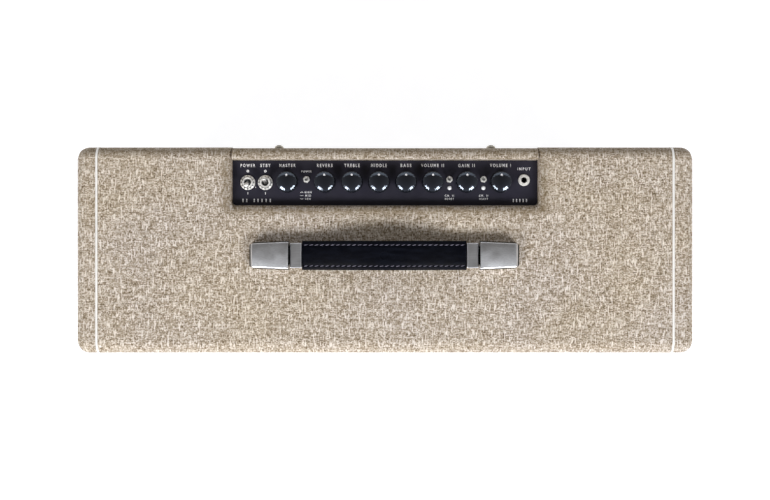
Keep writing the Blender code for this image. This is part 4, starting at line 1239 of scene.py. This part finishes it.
def speakers():
    """Pressed baskets with open windows, ribbed cones, yellow spiders, ferrite magnets and bolts."""
    for name, _ in SIDES:
        place = speaker_frame(name)
        bowl = mm(
            (135, 0.6), (138.5, 0.3), (154, 0.3), (154, 1.8), (153, 2.2), (144.5, 2.2), (143, 3), (129, 26),
            (127, 28), (80, 56), (78, 57), (62, 64), (30, 64), (30, 62.5), (61, 62.5), (78.5, 54.5),
            (127.2, 24.7), (140, 2.4), (135, 1.2),
        )
        windows = []
        for number in range(6):
            turn = pi / 3 * (number + 0.5)
            span = radians(21)
            outline = arc(0, 0, 0.119, turn - span, turn + span, 8)
            outline += arc(0, 0, 0.071, turn + span, turn - span, 6)
            windows.append(loft([[(x, y, z) for x, y in outline] for z in (0.012, 0.075)]))
        mesh = carved(turned(bowl, 72), windows)
        mesh.transform(place)
        node = "speaker_basket_" + name
        placed("pressed_" + node, mesh, "basket", replaces=(node,))
        gasket = washer(0.14, 0.151, -0.0002, 0.0003)
        piece("rim_gasket_" + name, turned(gasket, 72), "gasket", matrix=place)
        edge = smoothed(mm(
            (125.8, 1.2), (126.2, -0.5), (129, 1.2), (131.8, -0.8), (134.5, 0.8), (140, 0.3), (140, 0.9),
            (134.5, 1.4), (131.8, -0.1), (129, 2),
        ), 1)
        piece("cone_edge_" + name, turned(edge, 72), "paper", matrix=place, crease=70)

        cone = mm((27.4, 42.5), (42, 42.5), (56, 37.2))

        def rise(r):
            return 0.0425 - (r - 0.042) * 0.503

        for rib in (0.07, 0.084, 0.098, 0.112):
            before, after = rib - 0.002, rib + 0.002
            cone += [(before, rise(before)), (rib, rise(rib) + 0.0009), (after, rise(after))]
        cone += [(0.125, 0.0008), (0.125, -0.0007)]
        front_side = [(r, rise(r) - 0.0016) for r in (0.118, 0.105, 0.09, 0.075, 0.06)]
        cone += front_side + [(0.042, 0.0405), (0.029, 0.037)]
        cap = mm((28.9, 37), (24, 33), (18, 30.5), (10, 29.1), (0, 28.6))
        coil = mm((0, 29.8), (17, 31.8), (26.2, 39.2), (26.2, 74), (27.4, 74), (27.4, 42.5))
        body = "cone_" + name
        whole = coil + cone[1:] + cap[1:]
        piece(
            "paper_cone_" + name, turned(whole, 72), "paper", body,
            replaces=("speaker_cone_" + name,), matrix=place, crease=30,
        )
        spider = [(0.0278, 0.057)]
        for number in range(10):
            r = 0.03 + 0.0029 * number
            spider.append((r, 0.057 + (0.0008 if number % 2 else -0.0008)))
        spider += [(0.06, 0.059), (0.06, 0.0596)]
        spider += [(r, z + 0.0006) for r, z in spider[-3:0:-1]] + [(0.0278, 0.0576)]
        piece("spider_" + name, turned(spider, 72), "spider", matrix=place, crease=70)

        front_plate = mm((28.5, 64.4), (60, 64.4), (60.5, 65), (65, 69), (65, 71.9), (28.5, 71.9))
        ferrite = mm((30, 72), (76.5, 72), (78, 73.2), (78, 89.6), (76.5, 90.8), (30, 90.8))
        back_plate = mm((8, 90.9), (70, 90.9), (70.4, 91.4), (70.4, 96.2), (69, 97.6), (8.8, 97.6), (8, 97))
        for part, finish, profile, stands_for in (
            ("front_plate", "steel", front_plate, ()),
            ("ferrite", "ferrite", ferrite, ("speaker_magnet_" + name,)),
            ("back_plate", "steel", back_plate, ()),
        ):
            piece(
                "magnet_%s_%s" % (part, name), turned(profile, 72), finish,
                slot="speaker_magnet", replaces=stands_for, matrix=place, crease=30,
            )
        label = washer(0.02, 0.056, 0.09762, 0.09775)
        piece("magnet_label_" + name, turned(label, 72), "label", matrix=place)
        bolts, nuts = bmesh.new(), bmesh.new()
        bolt_circle = 0.1485
        for number in range(8):
            turn = pi / 4 * (number + 0.5)
            spot = place @ at(bolt_circle * cos(turn), bolt_circle * sin(turn), 0.0022)
            hex_nut(nuts, spot, 0.0085, 0.0006, 0.0042, 0.002)
            turned(washer(0.0021, 0.0052, 0.0, 0.0006), 24, spot, nuts)
            turned(mm((0, 0), (2, 0), (2, 6.2), (1.6, 6.8), (0, 6.8)), 16, spot, bolts)
        piece("basket_nuts_" + name, nuts, "screw")
        piece("basket_studs_" + name, bolts, "screw")
        tag = bmesh.new()
        block(-0.012, 0.012, 0.086, 0.089, 0.05, 0.062, tag, 0.0004)
        piece("terminal_board_" + name, tag, "moulding", slot="speaker_basket", matrix=place)
        tabs = bmesh.new()
        for x in (-0.006, 0.006):
            block(x - 0.0024, x + 0.0024, 0.088, 0.0888, 0.056, 0.072, tabs, 0.0002)
        piece("terminal_tabs_" + name, tabs, "brass", matrix=place)


def lead(name, points):
    """A fixed lead clipped inside the cabinet, along a smooth curve through a few points."""
    curve = bpy.data.curves.new(name, "CURVE")
    curve.dimensions = "3D"
    curve.bevel_depth = 0.0016
    curve.bevel_resolution = 3
    curve.use_fill_caps = True
    spline = curve.splines.new("BEZIER")
    spline.bezier_points.add(len(points) - 1)
    for point, place in zip(spline.bezier_points, points):
        point.co = place
        point.handle_left_type = point.handle_right_type = "AUTO"
    thing = bpy.data.objects.new(name, curve)
    bpy.context.scene.collection.objects.link(thing)
    graph = bpy.context.evaluated_depsgraph_get()
    mesh = bpy.data.meshes.new_from_object(thing.evaluated_get(graph))
    bpy.data.objects.remove(thing, do_unlink=True)
    placed(name, mesh, "moulding", crease=80)


def electronics():
    """Chassis, sockets, inlet, valves and transformers, and the two leads to the speakers."""
    for node, finish, ease in (
        ("chassis_tray", "steel", 0.0004),
        ("circuit_board", "circuit", 0.0),
        ("mains_inlet", "moulding", 0.0003),
        ("valve_socket_board", "circuit", 0.0),
    ):
        keep(node, finish, ease)

    z, wall = middle("mains_inlet").z, CHASSIS_REAR
    box_low, box_high = low("rear_jack_strip"), high("rear_jack_strip")
    bores = [
        turned([(0, -0.05), (PLUG_BORE, -0.05), (PLUG_BORE, 0.02), (0, 0.02)], 32, facing_rear(x, wall, z))
        for x in REAR_SOCKETS
    ]
    housing = block(box_low.x, box_high.x, box_low.y, wall - 0.0018, box_low.z, box_high.z, None, 0.0008)
    mesh = carved(housing, bores)
    placed("socket_housing", mesh, "moulding", replaces=("rear_jack_strip",))
    nuts = bmesh.new()
    for x in REAR_SOCKETS:
        place = facing_rear(x, wall, z)
        hex_nut(nuts, place, 0.0118, 0.0009, 0.0027, 0.0048, 0.3)
        turned(washer(0.0047, 0.0071, 0.0002, 0.0009), 40, place, nuts)
        nose = mm((4.7, -4), (4.7, 5.2), (4.3, 5.9))
        nose = [(PLUG_BORE, -0.004), *nose, (PLUG_BORE, 0.0059)]
        turned(nose, 40, place, nuts)
    piece("rear_socket_nuts", nuts, "bright", crease=30)
    inlet = middle("mains_inlet")
    pins = bmesh.new()
    for dx, dz in ((-0.007, -0.002), (0.007, -0.002), (0, 0.002)):
        block(
            inlet.x + dx - 0.0011, inlet.x + dx + 0.0011, wall - 0.0108, wall - 0.0008,
            z + dz - 0.0021, z + dz + 0.0021, pins, 0.0004,
        )
    piece("inlet_pins", pins, "brass")
    heads = bmesh.new()
    for side in (-1, 1):
        screw_head(heads, facing_rear(inlet.x + side * 0.019, wall + 0.003, z), 0.0026, 0.0015)
    for x in (-0.222, -0.115, -0.04, 0.06, 0.165, 0.222):
        screw_head(heads, facing_rear(x, wall, z + (0.014 if abs(x) > 0.2 else -0.0145)), 0.0024, 0.0013)
    piece("rear_wall_screws", heads, "screw")
    marks = bmesh.new()
    upright = Matrix.Rotation(pi, 4, "Z") @ Matrix.Rotation(pi / 2, 4, "X")
    for number, x in enumerate(REAR_SOCKETS):
        letters(marks, str(number + 1), x, wall + 0.00005, z + 0.0128, 0.004, None, upright)
    piece("socket_numbers", marks, "moulding", crease=20)

    for node in ("power_valve_left", "power_valve_right", "preamp_valve_left", "preamp_valve_right"):
        valve(node)
    transformer("mains_transformer")
    transformer("output_transformer")
    for name, side in SIDES:
        tag = speaker_frame(name) @ Vector((0.006 if side < 0 else -0.006, -0.088, 0.071))
        start = Vector((0.14 + 0.016 * side, 0.055, CHASSIS_BASE))
        bend = Vector((tag.x + 0.02, 0.035, 0.36))
        lead("speaker_lead_" + name, [start, start + Vector((0, 0, -0.03)), bend, tag])


def valve(node):
    """Glass envelope over a plate, mica discs, a silvered dome and a black base."""
    spot, bottom = middle(node), low(node).z
    wide = high(node).x - spot.x
    seat = CHASSIS_BASE - VALVE_SEAT
    big = node.startswith("power")
    place = at(spot.x, spot.y, 0)
    tall = seat - bottom
    if big:
        base_drop, glass = 0.017, wide * 0.955
        foot = seat - base_drop
        base = [(0, seat), (wide, seat), (wide, seat - 0.016), (wide * 0.95, foot), (0, foot)]
        piece("base_" + node, turned(base, 40), "moulding", matrix=place)
    else:
        base_drop, glass = 0.0, wide
        pins = bmesh.new()
        pin = [(r, seat + z) for r, z in mm((0, 0.3), (0.5, 0.3), (0.5, -4), (0, -4.4))]
        for number in range(9):
            turn = 2 * pi * number / 10
            lie = at(spot.x + 0.0059 * cos(turn), spot.y + 0.0059 * sin(turn), 0)
            turned(pin, 10, lie, pins)
        piece("pins_" + node, pins, "bright")
    start = seat - base_drop - 0.0001
    shape = smoothed([
        (0, start), (glass * 0.92, start), (glass, start - 0.004), (glass, bottom + tall * 0.22),
        (glass * 0.93, bottom + tall * 0.12), (glass * 0.45, bottom + tall * 0.035),
        (glass * 0.16, bottom + 0.0015), (0, bottom),
    ], 2)
    piece("glass_" + node, turned(shape, 48), "glass", replaces=(node,), matrix=place, crease=60)
    inner = glass - 0.001
    getter = smoothed([
        (0, bottom + 0.0016),
        (inner * 0.42, bottom + tall * 0.045 + 0.001), (inner * 0.9, bottom + tall * 0.125 + 0.001),
        (inner * 0.97, bottom + tall * 0.19), (inner * 0.955, bottom + tall * 0.19),
        (inner * 0.87, bottom + tall * 0.13 + 0.001), (inner * 0.4, bottom + tall * 0.05 + 0.0012),
        (0, bottom + 0.0022),
    ], 1)
    piece("getter_" + node, turned(getter, 40), "getter", matrix=place, crease=60)
    plate_low, plate_high = bottom + tall * 0.3, start - tall * 0.1
    reach = inner * 0.6
    plates = bmesh.new()
    y0, y1 = spot.y - reach * 0.55, spot.y + reach * 0.55
    block(spot.x - reach, spot.x + reach, y0, y1, plate_low, plate_high, plates, reach * 0.18, 3)
    y0, y1 = spot.y - reach * 0.3, spot.y + reach * 0.3
    rod_top, rod_end = start - 0.001, plate_low - 0.004
    rod = [(0, rod_top), (0.0004, rod_top), (0.0004, rod_end), (0, rod_end)]
    for side in (-1, 1):
        x = spot.x + side * reach * 1.12
        block(x - 0.0004, x + 0.0004, y0, y1, plate_low + 0.002, plate_high - 0.002, plates, 0.0001)
        turned(rod, 10, at(spot.x + side * reach * 0.5, spot.y + reach * 0.72, 0), plates)
    piece("plates_" + node, plates, "plate")
    discs = bmesh.new()

    def toothed(radius, z, angle):
        return radius * (0.9 + 0.1 * (sin(angle * 12) > 0))

    disc = inner * 0.94
    for z in (plate_low - 0.0012, plate_high + 0.0004):
        turned([(0, z), (disc, z), (disc, z + 0.0006), (0, z + 0.0006)], 24, place, discs, toothed)
    piece("micas_" + node, discs, "mica")


def transformer(node):
    """A laminated core between two pressed covers, on long bolts."""
    a, b = low(node), high(node)
    core_half = (b.y - a.y) * 0.24
    y = (a.y + b.y) / 2
    core = block(a.x, b.x, y - core_half, y + core_half, a.z, b.z, None, 0.0006)
    piece("core_" + node, core, "laminations", replaces=(node,))
    for name, side in (("front", -1), ("rear", 1)):
        y0, y1 = y + side * (core_half + 0.0001), y + side * (b.y - a.y) / 2
        loops = []
        for share, inset, corner in (
            (0.0, 0.0006, 0.004), (0.1, 0.0006, 0.004), (0.105, 0.007, 0.006), (0.55, 0.0085, 0.009),
            (0.82, 0.0105, 0.011), (0.95, 0.014, 0.012), (1.0, 0.0185, 0.012),
        ):
            outline = rounded_rectangle(a.x + inset, b.x - inset, a.z + inset, b.z - inset, corner, 6)
            loops.append([(x, y0 + (y1 - y0) * share, z) for x, z in outline])
        piece("cover_%s_%s" % (name, node), loft(loops), "enamel", crease=30)
    bolts = bmesh.new()
    for x in (a.x + 0.0042, b.x - 0.0042):
        for z in (a.z + 0.0042, b.z - 0.0042):
            for side in (-1, 1):
                turn = Matrix.Rotation(-side * pi / 2, 4, "X")
                place = at(x, y + side * (core_half + 0.002), z) @ turn
                hex_nut(bolts, place, 0.0062, 0.0, 0.003, 0.0015)
                turned(mm((0, 0), (1.45, 0), (1.45, 5), (0, 5.2)), 12, place, bolts)
    piece("bolts_" + node, bolts, "screw")


# ---------------------------------------------------------------- stage


def floor():
    """A pale floor that glows a little, less before the amplifier and evenly far away."""
    g = Graph("floor_paper", 0.9)
    tooth = g.noise(g.place, 30.0, 3.0)
    g.set("Base Color", g.ramp(tooth, (0.3, (0.5, 0.5, 0.5)), (0.7, (0.54, 0.54, 0.54))))
    _, back, _ = g.split(g.place)
    glow = g.mix(g.span(back, -0.5, 0.5), (0.66, 0.69, 0.75), (0.9, 0.9, 0.9))
    g.set("Emission Color", g.mix(g.span(g.length(g.place), 0.8, 2.4), glow, (0.93, 0.93, 0.93)))
    g.set("Emission Strength", 1.0)
    reach, drop = 80, 0.0002
    bm = bmesh.new()
    corners = ((-reach, -reach), (reach, -reach), (reach, reach), (-reach, reach))
    bm.faces.new([bm.verts.new((x, y, -drop)) for x, y in corners])
    mesh = bpy.data.meshes.new("floor")
    bm.to_mesh(mesh)
    bm.free()
    mesh.materials.append(g.material)
    thing = bpy.data.objects.new("floor", mesh)
    bpy.context.scene.collection.objects.link(thing)


def sky():
    """Soft light from all round: cool in front, warm and dim behind, and pale at the skyline."""
    world = bpy.data.worlds.new("studio")
    world.use_nodes = True
    tree = world.node_tree

    def node(kind, source, socket, **settings):
        made = tree.nodes.new("ShaderNode" + kind)
        for key, value in settings.items():
            setattr(made, key, value)
        tree.links.new(source, made.inputs[socket])
        return made

    axes = node("SeparateXYZ", tree.nodes.new("ShaderNodeTexCoord").outputs["Generated"], 0).outputs
    tones = []
    for part, stops in (
        ("Y", ((0.0, (0.78, 0.81, 0.9)), (0.5, (0.62, 0.6, 0.58)), (1.0, (0.2, 0.14, 0.06)))),
        ("Z", ((0.62, (1.0, 1.0, 1.0)), (0.8, (0.75, 0.75, 0.76)), (1.0, (0.36, 0.34, 0.315)))),
    ):
        shift = node("MapRange", axes[part], "Value")
        shift.inputs["From Min"].default_value = -1.0
        shade = node("ValToRGB", shift.outputs["Result"], "Fac")
        shade.color_ramp.elements.new(0.5)
        for point, (place, colour) in zip(shade.color_ramp.elements, stops):
            point.position = place
            point.color = (*colour, 1.0)
        tones.append(shade.outputs["Color"])
    product = node("VectorMath", tones[0], 0, operation="MULTIPLY")
    tree.links.new(tones[1], product.inputs[1])
    skyline = node("MapRange", axes["Z"], "Value", interpolation_type="SMOOTHSTEP")
    for socket, value in (("From Min", 0.02), ("From Max", 0.32)):
        skyline.inputs[socket].default_value = value
    fade = node("Mix", skyline.outputs["Result"], "Factor", data_type="RGBA")
    pale, above = (socket for socket in fade.inputs if socket.identifier in ("A_Color", "B_Color"))
    pale.default_value = (1.95, 1.95, 1.95, 1.0)
    tree.links.new(product.outputs[0], above)
    shown = next(socket for socket in fade.outputs if socket.identifier == "Result_Color")
    tree.links.new(shown, tree.nodes["Background"].inputs["Color"])
    tree.nodes["Background"].inputs["Strength"].default_value = 0.52
    bpy.context.scene.world = world


def lights():
    """Two large soft lights before the amplifier, and a dim cool one above and behind."""
    target = Vector((0, 0, TOP_Z))
    white, cool = (1.0, 1.0, 1.0), (0.88, 0.92, 1.0)
    for name, place, size, power, colour in (
        ("key_left", (-1.15, -1.25, 2.0), (0.9, 0.7), 33.0, white),
        ("key_right", (1.15, -1.25, 2.0), (0.9, 0.7), 33.0, white),
        ("crown", (0.0, 1.55, 1.72), (4.6, 0.7), 9.0, cool),
    ):
        light = bpy.data.lights.new(name, "AREA")
        light.shape = "RECTANGLE"
        light.size, light.size_y = size
        light.energy = power
        light.color = colour
        thing = bpy.data.objects.new(name, light)
        thing.location = place
        thing.rotation_euler = (target - Vector(place)).to_track_quat("-Z", "Y").to_euler()
        bpy.context.scene.collection.objects.link(thing)


def studio():
    """The floor, the lights and a camera straight above."""
    floor()
    sky()
    lights()
    lens = bpy.data.cameras.new("overhead")
    lens.lens = 56.1
    lens.sensor_width = 36
    camera = bpy.data.objects.new("overhead", lens)
    camera.location = (0, 0.01775, 1.8)
    bpy.context.scene.collection.objects.link(camera)
    bpy.context.scene.camera = camera
    bpy.context.scene.view_settings.view_transform = "Standard"


FINISH = finishes()

# The slot that each finish belongs to, unless a piece names its own
SLOTS = {
    finish: slot
    for slot, names in (
        ("textured_vinyl", "vinyl"), ("white_piping", "piping"), ("grille_cloth", "grille"),
        ("foot_rubber", "rubber"), ("control_panel", "print"), ("knob_plastic", "knob"),
        ("bright_metal", "bright nut brass"), ("screw_metal", "screw"), ("satin_nickel", "satin"),
        ("black_moulding", "moulding"), ("lamp_lens", "lens"), ("handle_leather", "leather thread"),
        ("speaker_basket", "basket gasket"), ("cone_paper", "paper spider"), ("speaker_magnet", "label"),
        ("valve_glass", "glass getter plate mica"), ("transformer_paint", "laminations enamel"),
    )
    for finish in names.split()
}

studio()
covering()
cabinet_boards()
grille()
rear_screws()
feet()
panel_print()
knobs()
switches()
lamps_and_input()
handle()
speakers()
electronics()
